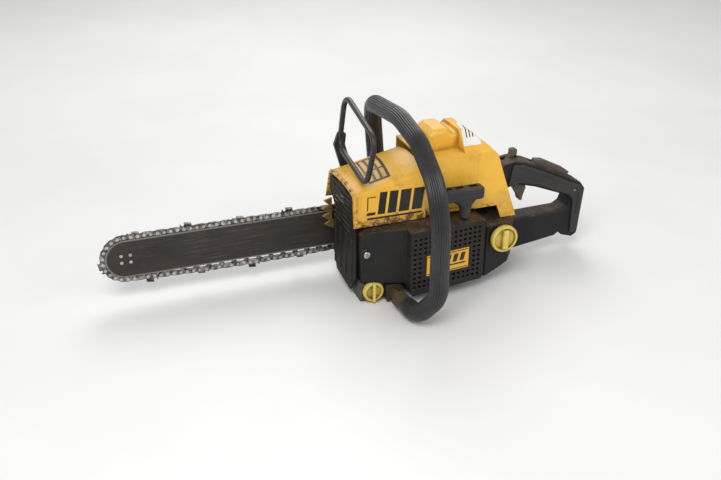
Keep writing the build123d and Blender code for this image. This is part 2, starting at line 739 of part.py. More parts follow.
def front_shield():
    outline = [(-60, 36), (-58, 112), (-57.4, 119), (-47.2, 157.5), (47.2, 157.5), (52, 134), (33, 122),
               (33, 40),
               (20, 14), (-40, 8)]
    x = (body_front - shield_thickness, body_front)
    plate = front_plate(outline, x, 6)
    for step in range(7):
        z = 100.0 + step * 8.0
        plate -= box((x[0] - 1, x[1] + 1), (-36, 34), (z, z + 3.5))
    for y in (-46.0, -22.0, 2.0, 24.0):
        plate += box((x[0] - 1.2, x[0]), (y, y + 3), (24, 92))
    return plate


# Starter side
def starter_plan(inset):
    """Outline seen from above: a slanted front wing and the deeper box over the fan."""
    left = starter_depth + inset
    return [(body_front + inset, case_left - 1), (body_front + inset, -68 + inset),
            (-72 + inset, -88 + inset), (-70 + inset, left), (52 - inset, left + 13), (57 - inset, left + 19),
            (57 - inset, case_left - 1)]


def starter_side(inset):
    return [(-132 + inset, 34 + inset), (-72 + inset, 32 + inset), (-66 + inset, 15 + inset),
            (50 - inset, 18 + inset),
            (57 - inset, 24 + inset), (57 - inset, 110 - inset), (48 - inset, 114 - inset),
            (-74, 117 - inset),
            (-124 + inset, 113 - inset), (-134 + inset, 106 - inset)]


def starter_housing():
    outer = top_plate(starter_plan(0.0), (0, 130)) & side_plate(starter_side(0.0), (-110, case_left - 1), 3)
    inner_plan = top_plate(starter_plan(starter_wall), (0, 130))
    inner = inner_plan & side_plate(starter_side(starter_wall), (-110, case_left))
    shell = outer - inner
    holes = []
    for row in range(hole_rows):
        for column in range(hole_columns):
            x = hole_start[0] + column * hole_pitch[0]
            z = hole_start[1] + row * hole_pitch[1]
            beside = x < badge_x[0] - 4 or x > badge_x[1] + 4
            above = z < badge_z[0] - 4 or z > badge_z[1] + 4
            if beside or above:
                holes.append(box((x - hole_half, x + hole_half), (-110, -86), (z - hole_half, z + hole_half)))
    shell -= holes
    shell += rod_y(5.0, (-92, -74))
    shell -= rod_z(3.0, (100, 125), pulley_radius, sum(pulley_y) / 2)
    shell -= box((-75, -60), (-52, -30), (100, 125))
    shell += rod_y(6.0, (-73.4, -67), *wing_screw)
    shell -= rod_y(2.5, (-80, -60), *wing_screw)
    return shell




def badge():
    slope = math.degrees(math.atan2(13.0, 122.0))
    plate = Box(badge_x[1] - badge_x[0], 1.2, badge_z[1] - badge_z[0])
    middle_x = sum(badge_x) / 2
    face_y = starter_depth + (middle_x + 70.0) * 13.0 / 122.0
    return Pos(middle_x, face_y - 0.65, sum(badge_z) / 2) * Rot(0, 0, slope) * plate


def starter_pieces():
    y = pulley_y
    pulley = rod_y(pulley_radius + 5, y) - (rod_y(60, (y[0] + 1.5, y[1] - 1.5)) - rod_y(16, (y[0], y[1])))
    pulley -= rod_y(5.0 + running_gap, (-100, -60))
    wound_rope = ring_y(pulley_radius - rope_radius - 0.5, 16.0, (y[0] + 1.6, y[1] - 1.6))
    save(group([pulley, wound_rope]), "starter_pulley")
    spring_y = (y[0] - 4.4, y[0] - 0.6)
    turns = [ring_y(8.0 + 3.0 * step, 7.0 + 3.0 * step, spring_y) for step in range(5)]
    spokes = box((5.2, 20.0), spring_y, (crank_z - 0.7, crank_z + 0.7))
    spring = turns[0]
    for turn in turns[1:]:
        spring += turn
    save(spring + spokes, "recoil_spring")
    rope_y = sum(y) / 2
    rope = rod_z(rope_radius, (26, 150), pulley_radius, rope_y)
    grip = box((-24, 49), (rope_y - 10, rope_y + 10), (147, 167))
    grip = fillet(grip.edges(), 6)
    stem = rod_z(8.5, (121, 150), pulley_radius, rope_y)
    grip += stem
    for x in (-14.0, 4.0, 26.0):
        grip -= box((x, x + 13), (rope_y - 4, rope_y + 4), (160, 170))
    grip -= rod_z(rope_radius, (110, 150), pulley_radius, rope_y)
    save(group([grip, rope]), "starter_grip_and_rope")


# Covers
def top_section(x, edge_z, crown, inset):
    """Cross-section of the front cover: leaning sides under a slightly crowned top."""
    lower = cover_half - inset
    upper = 51.0 - inset
    edge = edge_z - inset
    bottom = cover_base - (1.0 if inset else 0.0)
    edges = [
        Line((-lower, bottom), (-upper, edge)),
        ThreePointArc((-upper, edge), (0, edge + crown), (upper, edge)),
        Line((upper, edge), (lower, bottom)),
        Line((lower, bottom), (-lower, bottom)),
    ]
    face = make_face(Wire(edges))
    face = fillet(face.vertices().group_by(Axis.Y)[-1], 7.0 - inset)
    return Pos(x, 0, 0) * (Plane.YZ * face)


def top_cover():
    front_x = -146.0
    rear_x = cover_split - seam_gap
    outer = loft([top_section(front_x, 162, 4, 0.0), top_section(rear_x, 187, 9, 0.0)])
    inner = loft([top_section(front_x - 1, 162, 4, cover_wall),
                  top_section(rear_x + 1, 187.2, 9, cover_wall)])
    lean = side_plate([(-142.4, 100), (-139.0, 175), (-20, 230), (-20, 100)], (-80, 80))
    shell = (outer - inner) & lean
    shell -= rod_y(guard_boss_radius + 1.0, (40, 80), *guard_pivot)
    return shell - front_cover_cut()


def front_cover_cut():
    """Shallow panel let into the left side of the front cover."""
    return Pos(-88, -cover_half + 3.5, 146) * Rot(-12, 0, 0) * Box(76, 1.2, 40)


def rear_cover_body(inset):
    base = cover_base - (6.0 if inset else 0.0)
    front = cover_split - (6.0 if inset else 0.0)
    half = 58.0 - inset
    lower = front_plate([(-half, base), (-half + 3, 212 - inset), (half - 3, 212 - inset), (half, base)],
                        (front, 52 - inset), 3 if not inset else 0.6)
    roof = side_plate([(front - 1, base - 1), (front - 1, 203 - inset), (52, 208 - inset),
                       (52, base - 1)], (-70, 70))
    body = lower & roof
    dome_half = 27.0 - inset
    dome = side_plate([(-24 + inset, 196), (-15 + inset, 229 - inset), (-4, 236.5 - inset),
                       (14, 236.5 - inset),
                       (24, 229 - inset), (40, 229 - inset), (40, 196)], (-dome_half, dome_half), 5)
    if not inset:
        sides = dome.faces().sort_by(Axis.Y)
        dome = fillet(sides[0].edges() + sides[-1].edges(), dome_round)
    band_profile = side_plate(
        [(30 + inset, 198), (32 + inset, 233 - inset), (46, 232 - inset), (70, 213 - inset),
         (84 - inset, 199 - inset),
         (119 - inset, 97 - inset), (94, 97 - inset), (86, 118), (48, base), (48, 198)], (-70, 70))
    shoulders = front_plate([(-half, 90), (-half + 3, 206 - inset), (-24 + inset, 233.5 - inset),
                             (24 - inset, 233.5 - inset), (half - 3, 206 - inset), (half, 90)], (10, 125), 5)
    return body + dome + (band_profile & shoulders)


def air_filter_cover():
    shell = rear_cover_body(0.0) - rear_cover_body(cover_wall)
    shell -= box((40, 112), (-rear_handle_half - 1, rear_handle_half + 1), (90, 99))
    neck = side_plate(neck_outline(1.0), (-rear_handle_half - 1, rear_handle_half + 1))
    shell -= neck
    shell -= side_panel_line()
    return shell


def neck_outline(gap):
    return [(96, 90), (98, 150), (118 - gap, 166 + gap), (150, 170 + gap), (150, 90)]


def side_panel_line():
    outer = box((2, 44), (-60, -56.4), (124, 156))
    return outer - box((3, 43), (-62, -50), (125, 155))


# Fuel tank and rear handle
def tank_plan(inset):
    return [(case_rear + 2 + inset, tank_left + inset), (98 - inset / 2, tank_left + inset),
            (tank_rear - inset, tank_left + 14 + inset / 2), (tank_rear - inset, 44 - inset),
            (case_rear + 2 + inset, 44 - inset)]


def tank_side(inset):
    return [(case_rear + 2 + inset, 14 + inset), (84, 26 + inset), (108 - inset, 40 + inset),
            (tank_rear - inset, 60), (tank_rear - inset, tank_top - inset),
            (case_rear + 2 + inset, tank_top - inset)]


def fuel_tank():
    outer = top_plate(tank_plan(0.0), (0, 130), 3) & side_plate(tank_side(0.0), (-110, 60))
    inner = top_plate(tank_plan(tank_wall), (0, 130)) & side_plate(tank_side(tank_wall), (-110, 60))
    neck = rod_y(16.0, (tank_left - 3, tank_left + 4), fuel_cap_x, fuel_cap_z)
    shell = (outer - inner) + neck - rod_y(11.5, (tank_left - 5, tank_left + 6), fuel_cap_x, fuel_cap_z)
    front = case_rear + 2
    for z in mount_heights:
        for y in (-22.0, 22.0):
            shell += rod_x(mount_radius + 3, (front, front + mount_seat + 2), y, z)
            shell -= rod_x(mount_radius, (front - 1, front + mount_seat), y, z)
    return shell


def rubber_mounts():
    ends = (case_rear - mount_seat, case_rear + 2 + mount_seat)
    return group(rod_x(mount_radius, ends, y, z) for y in (-22.0, 22.0) for z in mount_heights)


handle_outline = [
    (112.5, 17), (143, 18), (217, 28), (224, 33), (230, 27), (249, 21), (258, 26), (261, 36), (266, 102),
    (258, 113),
    (240, 123), (190, 147), (162, 160), (140, 166), (118, 162), (105, 150), (103, 99), (112.5, 97),
]
finger_hole = [(124, 68), (226, 70), (236, 76), (240, 88), (232, 95), (176, 117), (142, 126), (124, 122)]


def rear_handle():
    y = (-rear_handle_half, rear_handle_half)
    frame = side_plate(handle_outline, y)
    frame -= side_plate(finger_hole, (y[0] - 1, y[1] + 1), 5)
    top_edges = [edge for edge in frame.edges() if long_edge(edge)]
    frame = fillet(top_edges, 4)
    slot_y = (-trigger_half - slide_gap, trigger_half + slide_gap)
    x, z = trigger_pivot
    frame -= box((132, 172), slot_y, (112, 152))
    frame -= side_plate([(168, 170), (168, 136), (246, 100), (252, 124)], slot_y)
    frame -= rod_y(2.0 + pin_hole_gap, (-12, 12), x, z)
    frame -= rod_y(2.0 + pin_hole_gap, (-12, 12), *lockout_pivot)
    frame -= box((122, 150), (1.5, 10.5), (146, 172))
    frame -= rod_y(2.0, (-3, 14), choke_x, choke_z)
    return frame


def long_edge(edge):
    """True for the side edges that a hand meets, all round the grip and the rear post."""
    middle = edge @ 0.5
    return abs(abs(middle.Y) - rear_handle_half) < 0.01 and middle.X > 150 and middle.Z > 60


def handle_shell():
    """Cover plate on the left side of the rear handle."""
    outline = [(126, 128), (132, 160), (150, 158.5), (188, 142), (256, 109), (261, 100), (257, 36), (252, 30),
               (244, 30), (243, 88), (236, 97), (178, 122), (146, 130)]
    y = (-rear_handle_half - shell_thickness, -rear_handle_half)
    plate = side_plate(outline, y, 2)
    centre = [(135, 133), (138, 154), (150, 153), (186, 137), (250, 106), (253, 98), (251, 60), (250, 60),
              (250, 92), (240, 102), (180, 127), (148, 135)]
    plate -= side_plate(centre, (y[0] - 1, y[0] + 1.0))
    return plate - rod_y(2.2, (-30, -10), 245, 103)


def control_pieces():
    x, z = trigger_pivot
    half = trigger_half
    finger = side_plate([(x - 8, z + 4), (x + 6, z + 6), (x + 12, z - 10), (x + 16, z - 22), (x + 12, z - 34),
                         (x + 9, z - 48), (x + 4, z - 34), (x - 6, z - 18)], (-half, half), 2)
    trigger = finger + rod_y(6.0, (-half, half), x, z)
    trigger -= rod_y(2.0 + running_gap, (-30, 30), x, z)
    save(trigger, "throttle_trigger")
    lx, lz = lockout_pivot
    lever = side_plate([(lx - 8, lz + 3), (lx - 4, lz + 12), (lx + 10, lz + 10), (lx + 48, lz - 9),
                        (lx + 58, lz - 16),
                        (lx + 52, lz - 22), (lx + 8, lz - 2), (lx, lz - 6)], (-half, half), 2)
    lever += rod_y(5.0, (-half, half), lx, lz)
    save(lever - rod_y(2.0 + running_gap, (-30, 30), lx, lz), "throttle_lockout")
    pins = [rod_y(2.0, (-10, 10), px, pz) for px, pz in (trigger_pivot, lockout_pivot)]

    knob = box((137, 148), (2, 10), (167, 178))
    knob = fillet(knob.edges().filter_by(Axis.Y), 3)
    stalk = rod_y(4.0, (2, 10), choke_x, choke_z)
    lever = knob + bar_between((choke_x, choke_z), (142, 172), 7, (2, 10)) + stalk
    save(lever - rod_y(2.0 + running_gap, (0, 20), choke_x, choke_z), "choke_lever")
    pins.append(rod_y(2.0, (-3, 14), choke_x, choke_z))
    save(group(pins), "control_pins")
    switch = box((tank_rear + 0.6, tank_rear + 6), (-50, -42), (86, 95))
    switch = fillet(switch.edges().filter_by(Axis.Y), 1.5)
    save(switch, "stop_switch")




def cap(radius, plug_radius, x, z, seat_y, bar_length, bar_width):
    """Screw cap with a rim, a grip bar across its face and a plug reaching into the neck."""
    disc = rod_y(radius, (seat_y - 8, seat_y - 0.3), x, z)
    disc = fillet(disc.edges(), 1.5)
    disc -= rod_y(radius - 3.5, (seat_y - 9, seat_y - 5), x, z)
    grip = box((x - bar_width / 2, x + bar_width / 2), (seat_y - 12, seat_y - 4),
               (z - bar_length / 2, z + bar_length / 2))
    grip = fillet(grip.edges().group_by(Axis.Y)[0], 2)
    plug = rod_y(plug_radius, (seat_y - 1, seat_y + neck_depth), x, z)
    return disc + grip + plug


# Front handle, hand guard and fasteners
def handle_route():
    return [
        (-86, -100, 15.5), (-79, -153, 15.5), (handle_x - 2, -176, 52), (handle_x, handle_left, 150),
        (handle_x, -150, 206), (handle_x, -88, 247), (handle_x, -20, handle_top + 3),
        (handle_x, 84, 249), (-52, handle_right, 214), (-46, handle_right - 2, 140),
    ]




def handle_pieces():
    route = [Vector(*point) for point in handle_route()]
    inner = handle_tube_radius
    save(tube(route, handle_bends, inner, inner - handle_tube_wall), "front_handle_tube")
    first_arm = (route[1] - route[0]).normalized()
    sleeve_route = [route[0] + first_arm * sleeve_start] + route[1:]
    save(tube(sleeve_route, handle_bends, handle_radius, inner), "front_handle_grip")
    collar_plane = Plane(origin=route[0] + first_arm * 1.0, z_dir=first_arm)
    collar = extrude(collar_plane * (Circle(inner + 2.2) - Circle(inner)), sleeve_start - 2.0)
    foot = box((-97, -76), (-82, oil_tank_left), (3, 28))
    bush = rod_y(7.5, (-97.2, -82), -86.5, 15.5)
    upper = box((-58, -34), (66, handle_right + 10), (clutch_cover_top, clutch_cover_top + 6))
    upper += box((-57, -35), (handle_right - 13, handle_right + 9), (clutch_cover_top + 6, 138.6))
    save(group([foot, bush, collar, upper]), "handle_brackets")


def hand_guard():
    """Closed loop ahead of the front handle, carried by an arm on the bar side."""
    outline = flat(guard_corners, guard_bend + guard_thickness)
    ring = outline - offset(outline, amount=-guard_thickness)
    loop = Pos(-guard_thickness / 2, 0, 0) * (Plane.YZ * extrude(ring, guard_thickness))
    loop = fillet(loop.edges(), guard_thickness / 2 - 1.0)
    loop = Pos(0, 0, guard_middle_z) * Rot(0, guard_lean, 0) * Pos(0, 0, -guard_middle_z) * loop
    loop = Pos(guard_pivot[0] - guard_ahead, 0, 0) * loop
    inner_y, outer_y = guard_y
    arm = side_plate([(-108, 117.5), (-92, 117.5), (-91, 134), (-110, 196), (-108, 214), (-120, 216),
                      (-127, 196),
                      (-109, 134)], (inner_y, outer_y - 3), 4)
    return loop + arm - rod_y(4.0 + running_gap, (50, 80), *guard_pivot)


def guard_screw():
    arm_end = guard_y[1] - 3 + 0.3
    head = rod_y(7.0, (arm_end, arm_end + 3.6), *guard_pivot)
    sleeve = rod_y(4.0, (guard_y[0] - 0.5, arm_end), *guard_pivot)
    return head + sleeve + rod_y(3.0, (50, guard_y[0]), *guard_pivot)


def wing_screw_solid():
    return rod_y(4.6, (-77, -73.4), *wing_screw) + rod_y(2.5, (-73.4, -62), *wing_screw)


def main():
    save(crankcase_left(), "crankcase_left")
    save(crankcase_right(), "crankcase_right")
    save(cylinder(), "cylinder")
    engine_pieces()
    bearings_and_seals()
    nut = hexagon_y(13, (flywheel_face - 7, flywheel_face), 0, crank_z)
    nut -= rod_y(thread_radius, (-80, -50))
    save(group([flywheel(), nut]), "flywheel_and_nut")
    ignition_pieces()
    intake_pieces()
    save(muffler(), "muffler")
    clutch_pieces()
    save(brake_band(), "brake_band")
    bar_pieces()
    chain_pieces()
    bar_mount_pieces()
    save(clutch_cover(), "clutch_cover")
    save(spiked_bumper(), "spiked_bumper")
    save(front_shield(), "front_shield")
    save(starter_housing(), "starter_housing")
    save(badge(), "badge")
    starter_pieces()
    save(top_cover(), "top_cover")
    save(air_filter_cover(), "air_filter_cover")
    save(fuel_tank(), "fuel_tank")
    save(rubber_mounts(), "rubber_mounts")
    save(rear_handle(), "rear_handle")
    save(handle_shell(), "rear_handle_shell")
    control_pieces()
    save(cap(fuel_cap_radius, 11.0, fuel_cap_x, fuel_cap_z, tank_left - 3, 30, 9), "fuel_cap")
    save(cap(oil_cap_radius, 8.2, oil_cap_x, oil_cap_z, oil_tank_left, 30, 5), "oil_cap")
    handle_pieces()
    save(hand_guard(), "hand_guard")
    save(group([guard_screw(), wing_screw_solid()]), "body_screws")


main()
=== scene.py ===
import enum
import json
import logging
import math
from dataclasses import dataclass
from functools import partial

import bmesh
import bpy
import numpy as np
from mathutils import Matrix


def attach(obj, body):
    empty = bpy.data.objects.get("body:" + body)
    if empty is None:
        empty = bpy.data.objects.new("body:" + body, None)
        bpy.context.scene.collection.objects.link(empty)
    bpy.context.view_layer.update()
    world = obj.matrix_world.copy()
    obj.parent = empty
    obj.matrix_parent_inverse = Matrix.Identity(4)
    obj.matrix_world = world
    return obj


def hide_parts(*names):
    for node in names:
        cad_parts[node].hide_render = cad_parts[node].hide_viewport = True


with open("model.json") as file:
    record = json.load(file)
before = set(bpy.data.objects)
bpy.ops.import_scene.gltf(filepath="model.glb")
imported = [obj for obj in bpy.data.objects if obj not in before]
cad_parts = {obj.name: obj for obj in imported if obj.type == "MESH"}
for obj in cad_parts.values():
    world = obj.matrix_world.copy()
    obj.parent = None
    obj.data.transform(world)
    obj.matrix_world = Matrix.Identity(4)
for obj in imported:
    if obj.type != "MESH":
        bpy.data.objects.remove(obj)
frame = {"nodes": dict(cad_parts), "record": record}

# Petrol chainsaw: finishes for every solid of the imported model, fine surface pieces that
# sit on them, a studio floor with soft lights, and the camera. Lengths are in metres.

log = logging.getLogger("chainsaw")

Triple = tuple[float, float, float]
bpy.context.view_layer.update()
MM = 0.001
SHARP_ANGLE = math.radians(38)
SEED = 41


class Facing(enum.Enum):
    """The way that a flat piece is pressed onto the solid under it."""

    LEFT = "Y"
    TOP = "Z"


# ---------------------------------------------------------------- node helpers
class Bench:
    """Adds nodes to one node tree and joins their sockets."""

    def __init__(self, tree: bpy.types.NodeTree) -> None:
        """Keeps the tree that the nodes go to."""
        self.tree = tree

    def node(self, kind: str, values: dict | None = None, **settings: object) -> bpy.types.Node:
        """Adds one node.

        Args:
            kind: the node's type name without its "ShaderNode" prefix.
            values: constants or sockets for its inputs, by name or number.
            settings: the node's own properties, such as its operation.

        Returns:
            The new node.
        """
        made = self.tree.nodes.new("ShaderNode" + kind)
        for key, value in settings.items():
            setattr(made, key, value)
        for key, value in (values or {}).items():
            if isinstance(value, bpy.types.NodeSocket):
                self.tree.links.new(value, made.inputs[key])
            else:
                made.inputs[key].default_value = value
        return made

    def math(self, operation: str, first: object, second: object = 0.0) -> bpy.types.NodeSocket:
        """Joins two numbers by an operation and keeps the result between 0 and 1."""
        return self.node("Math", {0: first, 1: second}, operation=operation, use_clamp=True).outputs[0]

    def plain(self, operation: str, first: object, second: object = 0.0) -> bpy.types.NodeSocket:
        """Joins two numbers by an operation without a limit."""
        return self.node("Math", {0: first, 1: second}, operation=operation).outputs[0]

    def noise(self, vector: object, scale: object, detail: float = 4.0,
              rough: float = 0.55) -> bpy.types.NodeSocket:
        """Returns the value of a cloud pattern at a place."""
        values = {"Vector": vector, "Scale": scale, "Detail": detail, "Roughness": rough}
        return self.node("TexNoise", values).outputs[0]

    def step(self, value: object, low: float, high: float, start: float = 0.0,
             end: float = 1.0) -> bpy.types.NodeSocket:
        """Returns a smooth step from start to end as the value goes from low to high."""
        values = {0: value, 1: low, 2: high, 3: start, 4: end}
        return self.node("MapRange", values, interpolation_type="SMOOTHSTEP").outputs[0]

    def blend(self, share: object, first: object, second: object) -> bpy.types.NodeSocket:
        """Mixes two colours by a share."""
        values = {0: share, 6: opaque(first), 7: opaque(second)}
        return self.node("Mix", values, data_type="RGBA").outputs[2]

    def place(self) -> bpy.types.NodeSocket:
        """Returns the position on the object."""
        return self.node("TexCoord").outputs["Object"]

    def stretched(self, factors: Triple, turn: float = 0.0) -> bpy.types.NodeSocket:
        """Returns the position on the object, scaled along each axis and turned about Y."""
        values = {"Vector": self.place(), "Scale": factors, "Rotation": (0.0, turn, 0.0)}
        return self.node("Mapping", values).outputs[0]

    def effect(self, tree: bpy.types.NodeTree, values: dict) -> bpy.types.Node:
        """Places a shared effect, whose sockets are there only once the node has its tree."""
        made = self.tree.nodes.new("ShaderNodeGroup")
        made.node_tree = tree
        for key, value in values.items():
            made.inputs[key].default_value = value
        return made


def opaque(colour: object) -> object:
    """Adds a full alpha to a colour of three numbers and leaves a socket as it is."""
    return (*colour, 1.0) if isinstance(colour, tuple) and len(colour) == 3 else colour


def start_group(name: str, inputs: tuple[str, ...],
                outputs: tuple[str, ...]) -> tuple[Bench, dict, bpy.types.Node]:
    """Starts a shader node group with named number sockets.

    Args:
        name: the group's name.
        inputs: names of its numbers in.
        outputs: names of its masks out.

    Returns:
        The bench for its tree, its input sockets by name, and its output node.
    """
    tree = bpy.data.node_groups.new(name, "ShaderNodeTree")
    for label in inputs:
        tree.interface.new_socket(label, in_out="INPUT", socket_type="NodeSocketFloat")
    for label in outputs:
        tree.interface.new_socket(label, in_out="OUTPUT", socket_type="NodeSocketFloat")
    source = tree.nodes.new("NodeGroupInput")
    sink = tree.nodes.new("NodeGroupOutput")
    return Bench(tree), {label: source.outputs[label] for label in inputs}, sink


def end_group(bench: Bench, sink: bpy.types.Node, **masks: bpy.types.NodeSocket) -> bpy.types.NodeTree:
    """Joins finished masks to a group's output node by name and returns the group's tree."""
    for label, socket in masks.items():
        bench.tree.links.new(socket, sink.inputs[label])
    return bench.tree


class Effects:
    """Surface effects that many finishes share, each one a node group."""

    def __init__(self) -> None:
        """Builds every group once."""
        self.dirt_and_shade = self._dirt_and_shade()
        self.wear = self._wear()
        self.grain = self._grain()
        self.scratches = self._scratches()

    def _dirt_and_shade(self) -> bpy.types.NodeTree:
        """Dust on faces that look up, dirt in patches, and painted shade: corners and creases that the
        ambient occlusion finds shut are darkened in the same mask.
        """
        bench, given, sink = start_group("settled_dirt_and_corner_shade", ("Dust", "Dirt"), ("Dust", "Dirt"))
        place = bench.place()
        facing = bench.node("TexCoord").outputs["Normal"]
        upward = bench.step(bench.node("SeparateXYZ", {0: facing}).outputs[2], 0.25, 0.95)
        patches = bench.step(bench.noise(place, 34.0, 7.0, 0.68), 0.40, 0.66)
        specks = bench.step(bench.noise(place, 620.0, 3.0, 0.6), 0.46, 0.62)
        broken = bench.math("MULTIPLY", bench.math("ADD", patches, 0.22), bench.math("ADD", specks, 0.35))
        dust = bench.math("MULTIPLY", bench.math("MULTIPLY", upward, broken), given["Dust"])
        # Painted shade: ambient occlusion darkens corners and creases here; the stains below are the only
        # dirt in this mask.
        corner = bench.node("AmbientOcclusion", {"Distance": 0.010}, samples=6, only_local=True)
        shaded_corner = bench.step(corner.outputs["AO"], 0.92, 0.35)
        stains = bench.step(bench.noise(place, 21.0, 8.0, 0.72), 0.53, 0.72, 0.0, 0.45)
        painted_corner_shade = bench.math("MULTIPLY", shaded_corner, bench.math("ADD", patches, 0.45))
        dirt_and_shade = bench.math("MULTIPLY", bench.math("ADD", painted_corner_shade, stains), given["Dirt"])
        return end_group(bench, sink, Dust=dust, Dirt=dirt_and_shade)

    def _wear(self) -> bpy.types.NodeTree:
        """Rubbed edges, where the bevelled normal turns away from the true one."""
        bench, given, sink = start_group("rubbed_edges", ("Radius", "Amount"), ("Mask",))
        soft = bench.node("Bevel", {"Radius": given["Radius"]}, samples=6)
        true = bench.node("NewGeometry").outputs["Normal"]
        level = bench.node("VectorMath", {0: soft.outputs[0], 1: true}, operation="DOT_PRODUCT")
        edge = bench.step(bench.plain("SUBTRACT", 1.0, level.outputs["Value"]), 0.015, 0.14)
        chipped = bench.step(bench.noise(bench.place(), 160.0, 6.0, 0.7), 0.38, 0.62)
        mask = bench.math("MULTIPLY", bench.math("MULTIPLY", edge, chipped), given["Amount"])
        return end_group(bench, sink, Mask=mask)

    def _grain(self) -> bpy.types.NodeTree:
        """Fine tooth of a moulding or casting, and the slow drift of its colour."""
        bench, given, sink = start_group("surface_grain", ("Scale",), ("Height", "Drift"))
        place = bench.place()
        fine = bench.noise(place, given["Scale"], 3.0, 0.6)
        coarse = bench.noise(place, 240.0, 4.0, 0.6)
        height = bench.math("ADD", bench.math("MULTIPLY", fine, 0.6), bench.math("MULTIPLY", coarse, 0.4))
        drift = bench.step(bench.noise(place, 16.0, 6.0, 0.62), 0.33, 0.70)
        return end_group(bench, sink, Height=height, Drift=drift)

    def _scratches(self) -> bpy.types.NodeTree:
        """Two families of long fine scratches, nearly along X, from noise stretched along them."""
        bench, given, sink = start_group("long_scratches", ("Amount",), ("Mask",))
        families = []
        for turn, across in ((0.05, 900.0), (-0.16, 640.0)):
            lines = bench.noise(bench.stretched((9.0, 60.0, across), turn), 1.0, 2.0, 0.5)
            families.append(bench.step(lines, 0.60, 0.68))
        both = bench.math("MAXIMUM", families[0], families[1])
        area = bench.step(bench.noise(bench.place(), 14.0, 4.0, 0.6), 0.35, 0.65)
        mask = bench.math("MULTIPLY", bench.math("MULTIPLY", both, area), given["Amount"])
        return end_group(bench, sink, Mask=mask)


# ---------------------------------------------------------------- finishes
@dataclass
class Look:
    """The sockets of a surface while its finish is being put together."""

    colour: object
    rough: object
    height: object


@dataclass(frozen=True)
class Finish:
    """A moulded, cast or painted surface with grain, dirt, dust, rubbed edges, and painted shade that darkens
    its corners.
    """

    name: str
    slot: str
    colour: Triple
    shade: Triple
    rough: float = 0.5
    metallic: float = 0.0
    specular: float = 0.4
    coat: float = 0.0
    grain: float = 1500.0
    depth: float = 0.00006
    dust: float = 0.4
    # The dirt amount and dirt colour also paint shade into corners and creases.
    dirt_and_shade: float = 0.5
    dust_colour: Triple = (0.20, 0.155, 0.11)
    dirt_and_shade_colour: Triple = (0.035, 0.024, 0.015)
    wear: float = 0.3
    wear_colour: Triple = (0.16, 0.155, 0.15)
    edge: float = 0.0008

    def detail(self, bench: Bench, look: Look, effects: Effects) -> Look:
        """Adds what only this finish shows. The plain one adds nothing."""
        return look

    def dress(self, effects: Effects) -> bpy.types.Material:
        """Builds the material.

        Args:
            effects: the shared node groups.

        Returns:
            The finished material.
        """
        material = bpy.data.materials.new(self.name)
        material.use_nodes = True
        material.diffuse_color = opaque(self.colour)
        tree = material.node_tree
        tree.nodes.clear()
        bench = Bench(tree)
        grain = bench.effect(effects.grain, {"Scale": self.grain})
        marks = bench.effect(effects.dirt_and_shade, {"Dust": self.dust, "Dirt": self.dirt_and_shade})
        rubbed = bench.effect(effects.wear, {"Radius": self.edge, "Amount": self.wear})
        colour = bench.blend(grain.outputs["Drift"], self.colour, self.shade)
        colour = bench.blend(rubbed.outputs["Mask"], colour, self.wear_colour)
        smooth = max(self.rough - 0.06, 0.05)
        rough = bench.step(grain.outputs["Height"], 0.25, 0.75, smooth, self.rough + 0.08)
        look = self.detail(bench, Look(colour, rough, grain.outputs["Height"]), effects)
        # Dirt stains and painted corner shade, both in the dirt colour.
        colour = bench.blend(marks.outputs["Dirt"], look.colour, self.dirt_and_shade_colour)
        colour = bench.blend(marks.outputs["Dust"], colour, self.dust_colour)
        dirt_dust_and_shade = bench.math("ADD", marks.outputs["Dirt"], marks.outputs["Dust"])
        rough = bench.math("ADD", look.rough, bench.math("MULTIPLY", dirt_dust_and_shade, 0.3))
        soft = bench.node("Bevel", {"Radius": self.edge}, samples=4)
        bump = {"Height": look.height, "Distance": self.depth, "Strength": 1.0, "Normal": soft.outputs[0]}
        shader = bench.node("BsdfPrincipled", {
            "Base Color": colour, "Roughness": rough, "Metallic": self.metallic, "Coat Roughness": 0.25,
            "Specular IOR Level": self.specular, "Coat Weight": self.coat,
            "Normal": bench.node("Bump", bump).outputs[0]})
        bench.node("OutputMaterial", {0: shader.outputs[0]})
        return material


@dataclass(frozen=True)
class CoverPlastic(Finish):
    """Yellow cover moulding: brown grime gathers along the lower seam and the front rim."""

    seam_top: float = 0.150
    seam_base: float = 0.119
    rim_back: float = -0.118
    rim_front: float = -0.139
    split_front: float = -0.040
    split_back: float = 0.020
    film_colour: Triple = (0.30, 0.13, 0.03)
    grime_colour: Triple = (0.060, 0.030, 0.014)
    faded_colour: Triple = (0.90, 0.56, 0.09)

    def detail(self, bench: Bench, look: Look, effects: Effects) -> Look:
        """Adds the grime bands, which fade with height and with distance from the rim."""
        parts = bench.node("SeparateXYZ", {0: bench.place()}).outputs
        low = bench.step(parts[2], self.seam_top, self.seam_base)
        front = bench.step(parts[0], self.rim_back, self.rim_front)
        blots = bench.noise(bench.place(), 95.0, 8.0, 0.74)
        behind = bench.step(parts[0], self.split_front, self.split_back, 1.0, 0.60)
        near = bench.math("MULTIPLY", bench.math("MAXIMUM", low, bench.math("MULTIPLY", front, 0.85)), behind)
        reach = bench.plain("SUBTRACT", bench.plain("ADD", blots, bench.plain("MULTIPLY", near, 0.40)), 0.80)
        grime = bench.step(reach, 0.0, 0.14, 0.0, 0.92)
        film = bench.math("MULTIPLY", near, 0.30)
        colour = bench.blend(film, look.colour, self.film_colour)
        colour = bench.blend(grime, colour, self.grime_colour)
        faded = bench.step(bench.noise(bench.place(), 9.0, 3.0, 0.5), 0.45, 0.75, 0.0, 0.35)
        colour = bench.blend(faded, colour, self.faded_colour)
        rough = bench.math("ADD", look.rough, bench.math("MULTIPLY", grime, 0.35))
        height = bench.math("ADD", look.height, bench.math("MULTIPLY", grime, 0.5))
        return Look(colour, rough, height)


